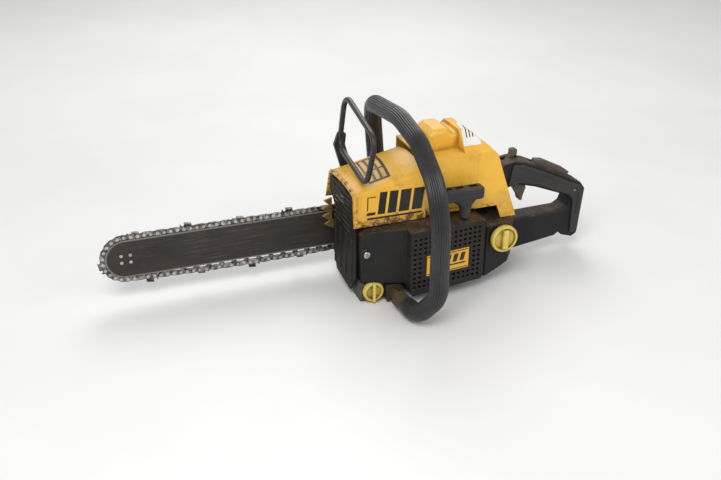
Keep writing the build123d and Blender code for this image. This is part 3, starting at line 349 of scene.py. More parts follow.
@dataclass(frozen=True)
class BarSteel(Finish):
    """Guide bar plate: dark oily patina, bright rails along both edges and round the nose."""

    nose_x: float = -0.44667
    centre_z: float = 0.069
    rail: float = 0.0262
    rail_end: float = 0.0287
    smear_colour: Triple = (0.050, 0.041, 0.036)
    rust_colour: Triple = (0.075, 0.040, 0.022)
    scratch_colour: Triple = (0.15, 0.14, 0.13)
    rail_colour: Triple = (0.30, 0.285, 0.27)

    def detail(self, bench: Bench, look: Look, effects: Effects) -> Look:
        """Adds long scratches, oily smears, and rails far from the middle line."""
        parts = bench.node("SeparateXYZ", {0: bench.place()}).outputs
        ahead = bench.plain("MINIMUM", bench.plain("SUBTRACT", parts[0], self.nose_x), 0.0)
        beside = bench.plain("SUBTRACT", parts[2], self.centre_z)
        squares = bench.plain("ADD", bench.plain("POWER", bench.plain("ABSOLUTE", ahead), 2.0),
                              bench.plain("POWER", bench.plain("ABSOLUTE", beside), 2.0))
        far = bench.plain("SQRT", squares)
        rails = bench.step(far, self.rail, self.rail_end, 0.0, 0.7)
        marks = bench.effect(effects.scratches, {"Amount": 0.55}).outputs[0]
        smear = bench.step(bench.noise(bench.stretched((6.0, 20.0, 38.0)), 1.0, 6.0, 0.66), 0.36, 0.66)
        rust = bench.step(bench.noise(bench.place(), 70.0, 7.0, 0.72), 0.56, 0.68, 0.0, 0.55)
        colour = bench.blend(smear, look.colour, self.smear_colour)
        colour = bench.blend(rust, colour, self.rust_colour)
        colour = bench.blend(marks, colour, self.scratch_colour)
        colour = bench.blend(rails, colour, self.rail_colour)
        rough = bench.math("SUBTRACT", look.rough, bench.math("MULTIPLY", rails, 0.15))
        height = bench.math("SUBTRACT", look.height, bench.math("MULTIPLY", marks, 0.6))
        return Look(colour, rough, height)


@dataclass(frozen=True)
class OilySteel(Finish):
    """Chain and sprocket steel: bright where it rubs, black where old oil sits."""

    oil_share: float = 0.8
    varnish_colour: Triple = (0.11, 0.065, 0.035)
    oil_colour: Triple = (0.022, 0.019, 0.016)

    def detail(self, bench: Bench, look: Look, effects: Effects) -> Look:
        """Adds patches of black oil and brown varnish."""
        oil = bench.step(bench.noise(bench.place(), 210.0, 5.0, 0.65), 0.40, 0.60, 0.0, self.oil_share)
        varnish = bench.step(bench.noise(bench.place(), 60.0, 5.0, 0.6), 0.50, 0.68, 0.0, 0.6)
        colour = bench.blend(varnish, look.colour, self.varnish_colour)
        colour = bench.blend(oil, colour, self.oil_colour)
        rough = bench.math("SUBTRACT", look.rough, bench.math("MULTIPLY", oil, 0.12))
        return Look(colour, rough, look.height)


@dataclass(frozen=True)
class FeltPad(Finish):
    """Filter felt: a soft tangle of crossing fibres."""

    def detail(self, bench: Bench, look: Look, effects: Effects) -> Look:
        """Adds two directions of stretched noise as fibres."""
        first = bench.noise(bench.stretched((300.0, 1500.0, 1500.0), 0.5), 1.0, 3.0, 0.6)
        second = bench.noise(bench.stretched((1500.0, 1500.0, 300.0), -0.4), 1.0, 3.0, 0.6)
        fibres = bench.math("MAXIMUM", first, second)
        return Look(bench.blend(fibres, look.colour, (0.30, 0.25, 0.17)), look.rough, fibres)


@dataclass(frozen=True)
class HandleRubber(Finish):
    """Handle rubber: greyed in patches that are a little rougher, with fine pits."""

    def detail(self, bench: Bench, look: Look, effects: Effects) -> Look:
        """Adds a pale bloom in patches and fine pits."""
        bloom = bench.step(bench.noise(bench.place(), 26.0, 6.0, 0.66), 0.44, 0.72, 0.0, 0.75)
        colour = bench.blend(bloom, look.colour, (0.034, 0.033, 0.033))
        pits = bench.step(bench.noise(bench.place(), 420.0, 3.0, 0.6), 0.55, 0.66)
        return Look(colour, bench.math("ADD", look.rough, bench.math("MULTIPLY", bloom, 0.10)),
                    bench.math("SUBTRACT", look.height, bench.math("MULTIPLY", pits, 0.6)))


BROWN_DUST = (0.19, 0.12, 0.07)
STEEL_WEAR = (0.60, 0.59, 0.57)

FINISHES: dict[str, Finish] = {finish.slot: finish for finish in (
    CoverPlastic("cover_yellow", "yellow_plastic", (0.84, 0.475, 0.045), (0.76, 0.400, 0.034),
        rough=0.36, specular=0.45, coat=0.08, depth=0.00004, dust=0.22, dirt_and_shade=0.80,
        dust_colour=(0.50, 0.30, 0.10), dirt_and_shade_colour=(0.10, 0.045, 0.015), wear=0.35,
        wear_colour=(0.86, 0.52, 0.14), edge=0.0016),
    Finish("cap_yellow", "cap_plastic", (0.76, 0.60, 0.12), (0.62, 0.44, 0.075), rough=0.46, dirt_and_shade=1.0,
        dust=0.25, dirt_and_shade_colour=(0.16, 0.085, 0.025), wear=0.25, wear_colour=(0.80, 0.68, 0.26),
        edge=0.0010),
    Finish("badge_yellow", "badge", (0.82, 0.46, 0.035), (0.76, 0.40, 0.030), rough=0.40, dirt_and_shade=0.5,
        dust=0.1, dirt_and_shade_colour=(0.12, 0.06, 0.02), wear=0.2, wear_colour=(0.5, 0.34, 0.15)),
    Finish("black_moulding", "black_plastic", (0.010, 0.010, 0.011), (0.018, 0.017, 0.017), rough=0.52,
        specular=0.22, dust=0.65, dirt_and_shade=0.4, dust_colour=BROWN_DUST, wear=0.35,
        wear_colour=(0.080, 0.078, 0.076), edge=0.0012),
    Finish("grey_moulding", "grey_plastic", (0.026, 0.0255, 0.026), (0.038, 0.035, 0.033), rough=0.50,
        specular=0.28, dust=0.45, dirt_and_shade=0.35, dust_colour=BROWN_DUST, wear=0.40,
        wear_colour=(0.12, 0.115, 0.11), edge=0.0012),
    Finish("brown_moulding", "brown_plastic", (0.070, 0.056, 0.042), (0.100, 0.082, 0.060), rough=0.60,
        dust=0.5, dirt_and_shade=0.4, wear=0.45, wear_colour=(0.20, 0.17, 0.13)),
    Finish("red_moulding", "red_plastic", (0.62, 0.035, 0.020), (0.50, 0.03, 0.018), rough=0.4,
        dirt_and_shade=0.4, dust=0.2),
    Finish("black_rubber", "rubber", (0.020, 0.020, 0.021), (0.030, 0.029, 0.028), rough=0.62,
        specular=0.3, dust=0.5),
    HandleRubber("handle_rubber", "grip_rubber", (0.011, 0.011, 0.012), (0.018, 0.017, 0.017),
        rough=0.30, specular=0.45, coat=0.12, depth=0.00005, dust=0.16, dirt_and_shade=0.25, wear=0.25,
        wear_colour=(0.07, 0.068, 0.066), edge=0.0005),
    FeltPad("filter_felt", "felt", (0.46, 0.41, 0.31), (0.38, 0.32, 0.22), rough=0.9, specular=0.1,
        depth=0.0002, wear=0.0),
    Finish("case_casting", "magnesium", (0.055, 0.055, 0.058), (0.075, 0.070, 0.066), rough=0.55,
        metallic=0.35, grain=1100.0, depth=0.00012, dust=0.8, dirt_and_shade=0.8, dust_colour=BROWN_DUST,
        wear=0.7, wear_colour=(0.42, 0.42, 0.43)),
    Finish("cast_aluminium", "aluminium", (0.50, 0.50, 0.51), (0.38, 0.37, 0.36), rough=0.42,
        metallic=1.0, grain=1300.0, depth=0.00010, dust=0.4, dirt_and_shade=0.8, wear=0.5,
        wear_colour=(0.72, 0.72, 0.73)),
    OilySteel("machined_steel", "steel", (0.42, 0.41, 0.40), (0.30, 0.29, 0.28), rough=0.34,
        metallic=1.0, oil_share=0.35, depth=0.00003, wear=0.6, wear_colour=STEEL_WEAR),
    Finish("tarnished_brass", "brass", (0.40, 0.27, 0.10), (0.24, 0.15, 0.055), rough=0.42,
        metallic=0.9, dirt_and_shade=0.9, dust=0.5, dust_colour=BROWN_DUST, wear=0.8,
        wear_colour=(0.78, 0.62, 0.32)),
    Finish("exhaust_paint", "exhaust_steel", (0.060, 0.052, 0.046), (0.11, 0.060, 0.034), rough=0.68,
        metallic=0.4, dust=0.4, dirt_and_shade=0.7, wear=0.5, wear_colour=(0.26, 0.16, 0.10)),
    BarSteel("bar_patina", "bar_steel", (0.030, 0.026, 0.024), (0.044, 0.037, 0.033), rough=0.42,
        metallic=0.35, specular=0.3, grain=900.0, depth=0.00004, dust=0.1, dirt_and_shade=0.3, wear=0.35,
        wear_colour=(0.34, 0.33, 0.32), edge=0.0006),
    OilySteel("chain_steel", "chain_steel", (0.36, 0.345, 0.33), (0.24, 0.225, 0.21), rough=0.34,
        metallic=0.9, depth=0.00003, dirt_and_shade=0.7, dust=0.3, dust_colour=BROWN_DUST, wear=0.8,
        wear_colour=STEEL_WEAR, edge=0.0003),
    OilySteel("rivet_steel", "rivet_steel", (0.62, 0.61, 0.59), (0.50, 0.49, 0.47), rough=0.28,
        metallic=1.0, oil_share=0.25, depth=0.00003, dirt_and_shade=0.5, dust=0.15, wear=0.3,
        wear_colour=(0.8, 0.79, 0.77), edge=0.0003),
    Finish("tube_paint", "painted_tube", (0.030, 0.030, 0.032), (0.040, 0.038, 0.036), rough=0.4,
        wear=0.7, wear_colour=(0.4, 0.39, 0.38)),
    Finish("bracket_finish", "bracket_steel", (0.052, 0.040, 0.028), (0.090, 0.062, 0.036), rough=0.5,
        metallic=0.4, dust=0.7, dirt_and_shade=0.8, dust_colour=BROWN_DUST, wear=0.7,
        wear_colour=(0.34, 0.25, 0.14)),
)}

NODE_FINISHES: dict[str, Finish] = {
    "starter_housing": Finish("housing_black", "black_plastic", (0.011, 0.011, 0.012), (0.020, 0.018,
        0.017), rough=0.50,
        specular=0.24, dust=1.0, dirt_and_shade=0.55, dust_colour=(0.15, 0.088, 0.048), wear=0.4,
        wear_colour=(0.10, 0.092, 0.084), edge=0.0014),
    "front_shield": Finish("shield_black", "black_plastic", (0.009, 0.009, 0.009), (0.018, 0.015,
        0.013), rough=0.6,
        specular=0.2, dust=0.8, dirt_and_shade=1.0, dirt_and_shade_colour=(0.060, 0.036, 0.020), wear=0.4,
        wear_colour=(0.085, 0.075, 0.066), edge=0.0012),
    "hand_guard": Finish("guard_black", "black_plastic", (0.013, 0.013, 0.014), (0.020, 0.019, 0.019),
        rough=0.36,
        specular=0.5, dust=0.25, dirt_and_shade=0.3, wear=0.3, wear_colour=(0.07, 0.068, 0.066)),
}

VINYL_BLACK = Finish("vinyl_black", "black_plastic", (0.012, 0.012, 0.012), (0.018, 0.017, 0.016),
    rough=0.34,
    depth=0.00001, dust=0.3, dirt_and_shade=0.25, dust_colour=(0.30, 0.18, 0.07), wear=0.5,
    wear_colour=(0.50, 0.28, 0.05), edge=0.0004)
VINYL_YELLOW = Finish("vinyl_yellow", "yellow_plastic", (0.80, 0.44, 0.045), (0.70, 0.36, 0.035),
    rough=0.36,
    depth=0.00001, dust=0.3, dirt_and_shade=0.3, wear=0.0)
PAPER = Finish("label_paper", "badge", (0.80, 0.79, 0.77), (0.72, 0.70, 0.66), rough=0.7, specular=0.2,
    grain=2600.0, depth=0.00002, dust=0.1, dirt_and_shade=0.2, dirt_and_shade_colour=(0.35, 0.25, 0.12), wear=0.0)
CHIPS = Finish("wood_chips", "felt", (0.26, 0.15, 0.065), (0.12, 0.065, 0.03), rough=0.85, specular=0.2,
    dust=0.1, dirt_and_shade=0.2, wear=0.0)


# ---------------------------------------------------------------- mesh helpers
def surface(name: str, grids: list[np.ndarray], round_columns: bool = True,
            round_rows: bool = False) -> bpy.types.Object:
    """Makes one mesh object from grids of points.

    Each grid is rows of points. Neighbouring rows and columns are joined by quads, the last column
    to the first when round_columns is set, and the last row to the first when round_rows is set.
    A tube of closed rings gets one face over each end.

    Args:
        name: the object's name.
        grids: arrays of shape (rows, columns, 3), in metres.
        round_columns: whether each row is a closed ring.
        round_rows: whether the last row meets the first.

    Returns:
        The new object, at the origin.
    """
    points, faces, start = [], [], 0
    for grid in grids:
        rows, columns = grid.shape[:2]
        index = np.arange(start, start + rows * columns).reshape(rows, columns)
        ends = [index[0, ::-1].tolist(), index[-1].tolist()]
        if round_columns:
            index = np.hstack([index, index[:, :1]])
        if round_rows:
            index = np.vstack([index, index[:1]])
        quads = np.stack([index[:-1, :-1], index[:-1, 1:], index[1:, 1:], index[1:, :-1]], axis=-1)
        faces += quads.reshape(-1, 4).tolist()
        if round_columns and not round_rows:
            faces += ends
        points.append(grid.reshape(-1, 3))
        start += rows * columns
    mesh = bpy.data.meshes.new(name)
    mesh.from_pydata(np.concatenate(points).tolist(), [], faces)
    if round_columns:
        turn_outward(mesh)
    mesh.shade_smooth()
    mesh.set_sharp_from_angle(angle=SHARP_ANGLE)
    return added(name, mesh)


def added(name: str, data: object) -> bpy.types.Object:
    """Makes an object at the origin from mesh, lamp or camera data and puts it in the scene."""
    made = bpy.data.objects.new(name, data)
    bpy.context.scene.collection.objects.link(made)
    return made


def turn_outward(mesh: bpy.types.Mesh) -> None:
    """Turns every face of a closed mesh outward."""
    work = bmesh.new()
    work.from_mesh(mesh)
    bmesh.ops.recalc_face_normals(work, faces=work.faces)
    work.to_mesh(mesh)
    work.free()


def settle(piece: bpy.types.Object) -> None:
    """Keeps the result of a piece's modifiers as its mesh and removes them."""
    graph = bpy.context.evaluated_depsgraph_get()
    mesh = bpy.data.meshes.new_from_object(piece.evaluated_get(graph))
    piece.modifiers.clear()
    piece.data = mesh


def press(piece: bpy.types.Object, target: str, facing: Facing, lift: float) -> None:
    """Presses a flat piece onto a CAD node along one axis, then lifts it clear.

    Args:
        piece: the flat piece, which starts outside the node.
        target: the node's name.
        facing: the side of the node that it is pressed onto.
        lift: its distance above the node's surface.
    """
    wrap = piece.modifiers.new("press", "SHRINKWRAP")
    wrap.wrap_method = "PROJECT"
    wrap.target = frame["nodes"][target]
    wrap.use_project_y = facing is Facing.LEFT
    wrap.use_project_z = facing is Facing.TOP
    wrap.use_project_x = False
    wrap.use_positive_direction = facing is Facing.LEFT
    wrap.use_negative_direction = facing is Facing.TOP
    settle(piece)
    shift = (0.0, -lift, 0.0) if facing is Facing.LEFT else (0.0, 0.0, lift)
    piece.data.transform(Matrix.Translation(shift))


def thicken(piece: bpy.types.Object, thickness: float) -> None:
    """Gives a sheet a wall on its outer side."""
    wall = piece.modifiers.new("wall", "SOLIDIFY")
    wall.thickness = thickness
    wall.offset = 1.0
    settle(piece)


def rounded(route: np.ndarray, bends: list[float], spacing: float) -> np.ndarray:
    """Rounds the corners of a route and spaces points evenly along it.

    A corner of bend radius r between unit arms a and b gives the arc about c = corner + m r / sin(h),
    where m is the middle direction of the arms and h is half the angle between them.

    Args:
        route: corner points, shape (n, 3).
        bends: radius at each inner corner.
        spacing: distance between neighbouring points.

    Returns:
        Points along the rounded route.
    """
    pieces = [route[:1]]
    for before, corner, after, bend in zip(route[:-2], route[1:-1], route[2:], bends):
        first = (before - corner) / np.linalg.norm(before - corner)
        second = (after - corner) / np.linalg.norm(after - corner)
        half = math.acos(float(np.clip(first @ second, -1.0, 1.0))) / 2
        middle = (first + second) / np.linalg.norm(first + second)
        centre = corner + middle * bend / math.sin(half)
        begin = corner + first * bend / math.tan(half) - centre
        end = corner + second * bend / math.tan(half) - centre
        sweep_angle = math.pi - 2 * half
        share = np.linspace(0, 1, 24)[:, None]
        arc = np.sin((1 - share) * sweep_angle) * begin + np.sin(share * sweep_angle) * end
        pieces.append(centre + arc / math.sin(sweep_angle))
    pieces.append(route[-1:])
    points = np.concatenate(pieces)
    lengths = np.concatenate([[0.0], np.cumsum(np.linalg.norm(np.diff(points, axis=0), axis=1))])
    even = np.linspace(0, lengths[-1], max(int(lengths[-1] / spacing), 8) + 1)
    return np.stack([np.interp(even, lengths, points[:, axis]) for axis in range(3)], axis=1)


def carried(path: np.ndarray, profile: np.ndarray, side: Triple) -> np.ndarray:
    """Carries a profile along a path.

    Point (i, j) is path[i] + a[j] s[i] + b[j] u[i], where t is the path's direction, s is the part
    of side that is square to t, and u = t x s.

    Args:
        path: points along the path, shape (rows, 3).
        profile: pairs (a, b), shape (columns, 2) or (rows, columns, 2).
        side: a direction that the path never runs along.

    Returns:
        A grid of shape (rows, columns, 3).
    """
    along = np.gradient(path, axis=0)
    along /= np.linalg.norm(along, axis=1, keepdims=True)
    square = np.array(side) - (along @ np.array(side))[:, None] * along
    square /= np.linalg.norm(square, axis=1, keepdims=True)
    up = np.cross(along, square)
    wide = np.broadcast_to(profile, (len(path),) + profile.shape[-2:])
    return path[:, None] + wide[..., :1] * square[:, None] + wide[..., 1:] * up[:, None]


def turned(profile: np.ndarray, centre: Triple, columns: int, ridges: int, ridge: float) -> np.ndarray:
    """Turns a profile about a line along Y.

    Point (i, j) is centre + (r cos a, y, r sin a), with r[i] the profile's radius plus ridge times
    the square of cos(ridges a / 2) on rows whose third number is 1.

    Args:
        profile: rows of (radius, y, ridged), shape (rows, 3).
        centre: the centre of the turned shape.
        columns: points round the circle.
        ridges: how many ridges there are round the rim.
        ridge: height of a ridge.

    Returns:
        A grid of shape (rows, columns, 3).
    """
    angle = np.linspace(0, 2 * np.pi, columns, endpoint=False)
    radius = profile[:, :1] + profile[:, 2:] * ridge * np.cos(ridges * angle / 2)[None] ** 2
    depth = np.broadcast_to(profile[:, 1:2], radius.shape)
    grid = np.stack([radius * np.cos(angle), depth, radius * np.sin(angle)], axis=-1)
    return grid + np.array(centre)


def slanted(corner: tuple[float, float], size: tuple[float, float], slant: float, level: float,
            facing: Facing, step: float = 0.002) -> np.ndarray:
    """Flat slanted block: point (u, v) is corner + (u width + v slant, v height).

    Args:
        corner: lower front corner, (x, z) when it faces left and (x, y) when it faces up.
        size: width and height.
        slant: how far the top edge leans along X.
        level: where the block starts before it is pressed on.
        facing: the side that it faces.
        step: distance between grid points.

    Returns:
        A grid of shape (rows, columns, 3).
    """
    across = np.linspace(0, 1, max(int(size[0] / step), 2) + 1)[None, :]
    rise = np.linspace(0, 1, max(int(size[1] / step), 2) + 1)[:, None]
    x = corner[0] + across * size[0] + rise * slant
    second = np.broadcast_to(corner[1] + rise * size[1], x.shape)
    flat = np.full(x.shape, level)
    order = [x, flat, second] if facing is Facing.LEFT else [x, second, flat]
    return np.stack(order, axis=-1)


class Dresser:
    """Keeps one material per finish and puts finished pieces on their bodies."""

    def __init__(self, effects: Effects) -> None:
        """Starts with no materials."""
        self.effects = effects
        self.made: dict[str, bpy.types.Material] = {}

    def material(self, finish: Finish) -> bpy.types.Material:
        """Returns the finish's material, built the first time it is asked for."""
        if finish.name not in self.made:
            self.made[finish.name] = finish.dress(self.effects)
        return self.made[finish.name]

    def dress_nodes(self) -> None:
        """Gives every CAD node the finish of its slot, or its own where it has one."""
        for row in frame["record"]["subparts"]:
            node = frame["nodes"][row["node"]]
            finish = NODE_FINISHES.get(row["node"], FINISHES[row["material_slot"]])
            if not node.data.materials:
                node.data.materials.append(None)
            for place in node.material_slots:
                place.material = self.material(finish)
            log.info("%s wears %s", row["node"], finish.name)

    def hand_over(self, piece: bpy.types.Object, finish: Finish, body: str) -> None:
        """Dresses a new piece and lets it ride on a body."""
        piece.data.materials.clear()
        piece.data.materials.append(self.material(finish))
        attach(piece, body)
        log.info("%s rides on %s with %d faces", piece.name, body, len(piece.data.polygons))


# ---------------------------------------------------------------- pieces of the saw
@dataclass
class FrontHandle:
    """Ribbed rubber sleeve over the front handle's tube."""

    radius: float = 0.0135
    bore: float = 0.0101
    rib_depth: float = 0.0010
    ribs: int = 24
    points_per_rib: int = 6
    spacing: float = 0.0055

    def route(self) -> np.ndarray:
        """Returns the corner points of the tube's middle line."""
        return MM * np.array([
            (-83.12, -121.81, 15.5), (-79, -153, 15.5), (-60, -176, 52), (-58, -170, 150), (-58, -150, 206),
            (-58, -88, 247), (-58, -20, 260), (-58, 84, 249), (-52, 98, 214), (-46, 96, 140)], dtype=float)

    def profile(self, radius: float, depth: float) -> np.ndarray:
        """Ribbed circle: the radius is r - depth sin(ribs a / 2)^6 at angle a."""
        angle = np.linspace(0, 2 * np.pi, self.ribs * self.points_per_rib, endpoint=False)
        reach = radius - depth * np.sin(self.ribs * angle / 2) ** 6
        return np.stack([reach * np.cos(angle), reach * np.sin(angle)], axis=-1)

    def build(self, dresser: Dresser) -> None:
        """Makes the sleeve as an outer ribbed wall joined to a plain bore at both ends."""
        path = rounded(self.route(), [MM * b for b in (30, 40, 90, 70, 70, 110, 26, 60)], self.spacing)
        count = len(path)
        fade = np.clip(np.minimum(np.arange(count), np.arange(count)[::-1]) / 2.0, 0.0, 1.0)
        outer = self.profile(self.radius, 0.0)
        ribbed = self.profile(self.radius, self.rib_depth)
        wall = outer[None] * (1 - fade[:, None, None]) + ribbed[None] * fade[:, None, None]
        wall = wall * (1 - 0.05 * (1 - fade[:, None, None]))
        skin = carried(path, wall, (1.0, 0.0, 0.0))
        bore = carried(path, self.profile(self.bore, 0.0), (1.0, 0.0, 0.0))
        piece = surface("ribbed_handle_sleeve", [np.concatenate([skin, bore[::-1]])], round_rows=True)
        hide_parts("front_handle_grip")
        dresser.hand_over(piece, FINISHES["grip_rubber"], "powerhead")


@dataclass
class StarterGrip:
    """Flare between the starter grip's stem and its bar."""

    stem_x: float = 0.022
    stem_y: float = -0.080
    base: float = 0.130
    top: float = 0.1495
    stem_radius: float = 0.0085
    flare: float = 0.026
    half_depth: float = 0.0093

    def build(self, dresser: Dresser) -> None:
        """Makes rings from a circle to an oval, with half width growing as height to the 2.4."""
        rise = np.linspace(0, 1, 26)[:, None]
        angle = np.linspace(0, 2 * np.pi, 56, endpoint=False)[None]
        width = self.stem_radius * 1.01 + (self.flare - self.stem_radius) * rise ** 2.4
        depth = self.stem_radius * 1.01 + (self.half_depth - self.stem_radius) * rise
        x = self.stem_x + width * np.cos(angle) - 0.003 * rise ** 2
        y = self.stem_y + depth * np.sin(angle)
        z = np.broadcast_to(self.base + rise * (self.top - self.base), x.shape)
        piece = surface("starter_grip_flare", [np.stack([x, y, z], axis=-1)])
        dresser.hand_over(piece, FINISHES["grey_plastic"], "starter_grip")


@dataclass
class ScrewCap:
    """Ridged rim of a screw cap."""

    name: str
    body: str
    centre: Triple
    radius: float
    ridges: int
    ridge: float = 0.0007
    half_width: float = 0.0034

    def build(self, dresser: Dresser) -> None:
        """Makes a band whose outer face carries rounded ridges."""
        inner, half = self.radius - 0.0012, self.half_width
        profile = np.array([
            (inner, half, 0), (self.radius - 0.0001, half, 0.3), (self.radius, half - 0.0007, 1),
            (self.radius, 0.0, 1), (self.radius, -half + 0.0007, 1), (self.radius - 0.0001, -half, 0.3),
            (inner, -half, 0)])
        grid = turned(profile, self.centre, self.ridges * 8, self.ridges, self.ridge)
        piece = surface(self.name, [grid], round_rows=True)
        dresser.hand_over(piece, FINISHES["cap_plastic"], self.body)


@dataclass
class CoverTrim:
    """Raised rim, graphics and label on the yellow covers."""

    rim_height: float = 0.0019
    rim_width: float = 0.0052
    vinyl: float = 0.00018
    second_layer: float = 0.00030
    side_start: float = -0.09
    badge_start: float = -0.12
    top_start: float = 0.25
    hoop_start: float = 0.30

    def rim(self, dresser: Dresser) -> None:
        """Makes the bead that runs up the cover's front edge, over its top and down the other side.

        The path follows the cover's section; its x goes back with height, as the edge does.
        """
        corners = MM * np.array([
            (0, -61.6, 120.5), (0, -51.2, 163.6), (0, -26, 166.6), (0, 0, 167.8), (0, 26, 166.6),
            (0, 51.2, 163.6), (0, 61.6, 120.5)], dtype=float)
        path = rounded(corners, [MM * b for b in (8, 260, 260, 260, 8)], 0.0035)
        path[:, 0] = -0.1385 + (path[:, 2] - 0.118) * 0.045
        angle = np.linspace(0, 2 * np.pi, 20, endpoint=False)
        flat = np.stack([self.rim_width / 2 * np.sign(np.cos(angle)) * np.abs(np.cos(angle)) ** 0.6,
                         self.rim_height * np.sign(np.sin(angle)) * np.abs(np.sin(angle)) ** 0.8], axis=-1)
        piece = surface("front_cover_rim", [carried(path, flat, (1.0, 0.0, 0.0))])
        dresser.hand_over(piece, FINISHES["yellow_plastic"], "powerhead")

    def sticker(self, dresser: Dresser, name: str, blocks: list[np.ndarray], target: str, facing: Facing,
                finish: Finish, lift: float = 0.00008) -> None:
        """Presses flat blocks onto a node and gives them the thickness of a sticker."""
        piece = surface(name, blocks, round_columns=False)
        press(piece, target, facing, lift)
        thicken(piece, self.vinyl)
        piece.data.shade_flat()
        dresser.hand_over(piece, finish, "powerhead")

    def side_stripes(self, dresser: Dresser) -> None:
        """Lays plain slanted blocks and one long line on the left side of the front cover."""
        side = partial(slanted, level=self.side_start, facing=Facing.LEFT)
        places = [(-105.0, 11.0), (-90.0, 13.0), (-73.0, 16.0), (-53.0, 16.0)]
        blocks = [side((x * MM, 0.1335), (width * MM, 0.031), 0.006) for x, width in places]
        blocks += [side((-0.121, 0.1275), (0.084, 0.0026), 0.0),
                   side((-0.122, 0.1335), (0.013, 0.004), 0.0015),
                   side((-0.1205, 0.1400), (0.0016, 0.019), 0.002),
                   side((-0.1185, 0.1580), (0.013, 0.0012), 0.0)]
        self.sticker(dresser, "side_stripes", blocks, "top_cover", Facing.LEFT, VINYL_BLACK)

    def top_plate(self, dresser: Dresser) -> None:
        """Lays a black field with yellow slanted bars on top of the front cover."""
        top = partial(slanted, level=self.top_start, facing=Facing.TOP)
        field = [top((-0.1105, -0.038), (0.033, 0.078), 0.008)]
        self.sticker(dresser, "top_field", field, "top_cover", Facing.TOP, VINYL_BLACK)
        pitch, width = 0.0098, 0.0058
        bars = [top((-0.1070 + pitch * step, -0.034), (width, 0.024), 0.0025) for step in range(3)]
        bars += [top((-0.1042 + pitch * step, -0.006), (width, 0.040), 0.0040) for step in range(3)]
        self.sticker(dresser, "top_bars", bars, "top_cover", Facing.TOP, VINYL_YELLOW, self.second_layer)

    def label(self, dresser: Dresser) -> None:
        """Lays a small blank paper label with a few ruled dashes on the rear cover's hoop."""
        hoop = partial(slanted, level=self.hoop_start, facing=Facing.TOP)
        sheet = [hoop((0.0320, -0.046), (0.028, 0.050), 0.0095)]
        self.sticker(dresser, "paper_label", sheet, "air_filter_cover", Facing.TOP, PAPER)
        dashes = [hoop((0.0400 + 0.0050 * count, -0.036), (0.0016, 0.028), 0.0055, step=0.001)
                  for count in range(3)]
        self.sticker(dresser, "label_dashes", dashes, "air_filter_cover", Facing.TOP, VINYL_BLACK,
                     self.second_layer)

    def badge_art(self, dresser: Dresser) -> None:
        """Lays black frame lines and five plain slanted bars on the starter badge."""
        badge = partial(slanted, level=self.badge_start, facing=Facing.LEFT)
        left, right, low, high = -0.0425, 0.0245, 0.0455, 0.0745
        line = 0.0012
        blocks = [badge((left, low), (right - left, line), 0),
                  badge((left, high - line), (right - left, line), 0),
                  badge((left + 0.004, 0.0525), (right - left - 0.008, 0.0022), 0)]
        blocks += [badge((-0.037 + 0.0118 * step, 0.0575), (0.0072, 0.0125), 0.003) for step in range(5)]
        self.sticker(dresser, "badge_lines", blocks, "badge", Facing.LEFT, VINYL_BLACK)

    def build(self, dresser: Dresser) -> None:
        """Makes every piece of trim."""
        self.rim(dresser)
        self.side_stripes(dresser)
        self.top_plate(dresser)
        self.label(dresser)
        self.badge_art(dresser)


@dataclass
class ScrewHead:
    """Domed screw head with a cross recess shown as four shallow lobes."""

    name: str
    centre: Triple
    radius: float
    height: float
    finish: str = "rivet_steel"

    def build(self, dresser: Dresser) -> None:
        """Makes a dome, y = h sqrt(1 - (0.96 u)^2.6) at radius share u, lowered where |cos 2a| is high."""
        share = np.linspace(0.02, 1, 22)[:, None]
        angle = np.linspace(0, 2 * np.pi, 64, endpoint=False)[None]
        dome = self.height * np.sqrt(np.clip(1 - (share * 0.96) ** 2.6, 0, 1))
        slot = np.clip(1.6 - share * 2.6, 0, 1) * np.abs(np.cos(2 * angle)) ** 10
        core = np.clip(1 - share * 5.0, 0, 1)
        y = -(dome - self.height * 0.55 * np.maximum(slot, core))
        x = share * self.radius * np.cos(angle)
        z = share * self.radius * np.sin(angle)
        skin = np.stack([x + 0 * y, y, z + 0 * y], axis=-1)
        foot = skin[-1:].copy()
        foot[..., 1] = 0.0002
        grid = np.concatenate([skin, foot]) + np.array(self.centre)
        dresser.hand_over(surface(self.name, [grid]), FINISHES[self.finish], "powerhead")


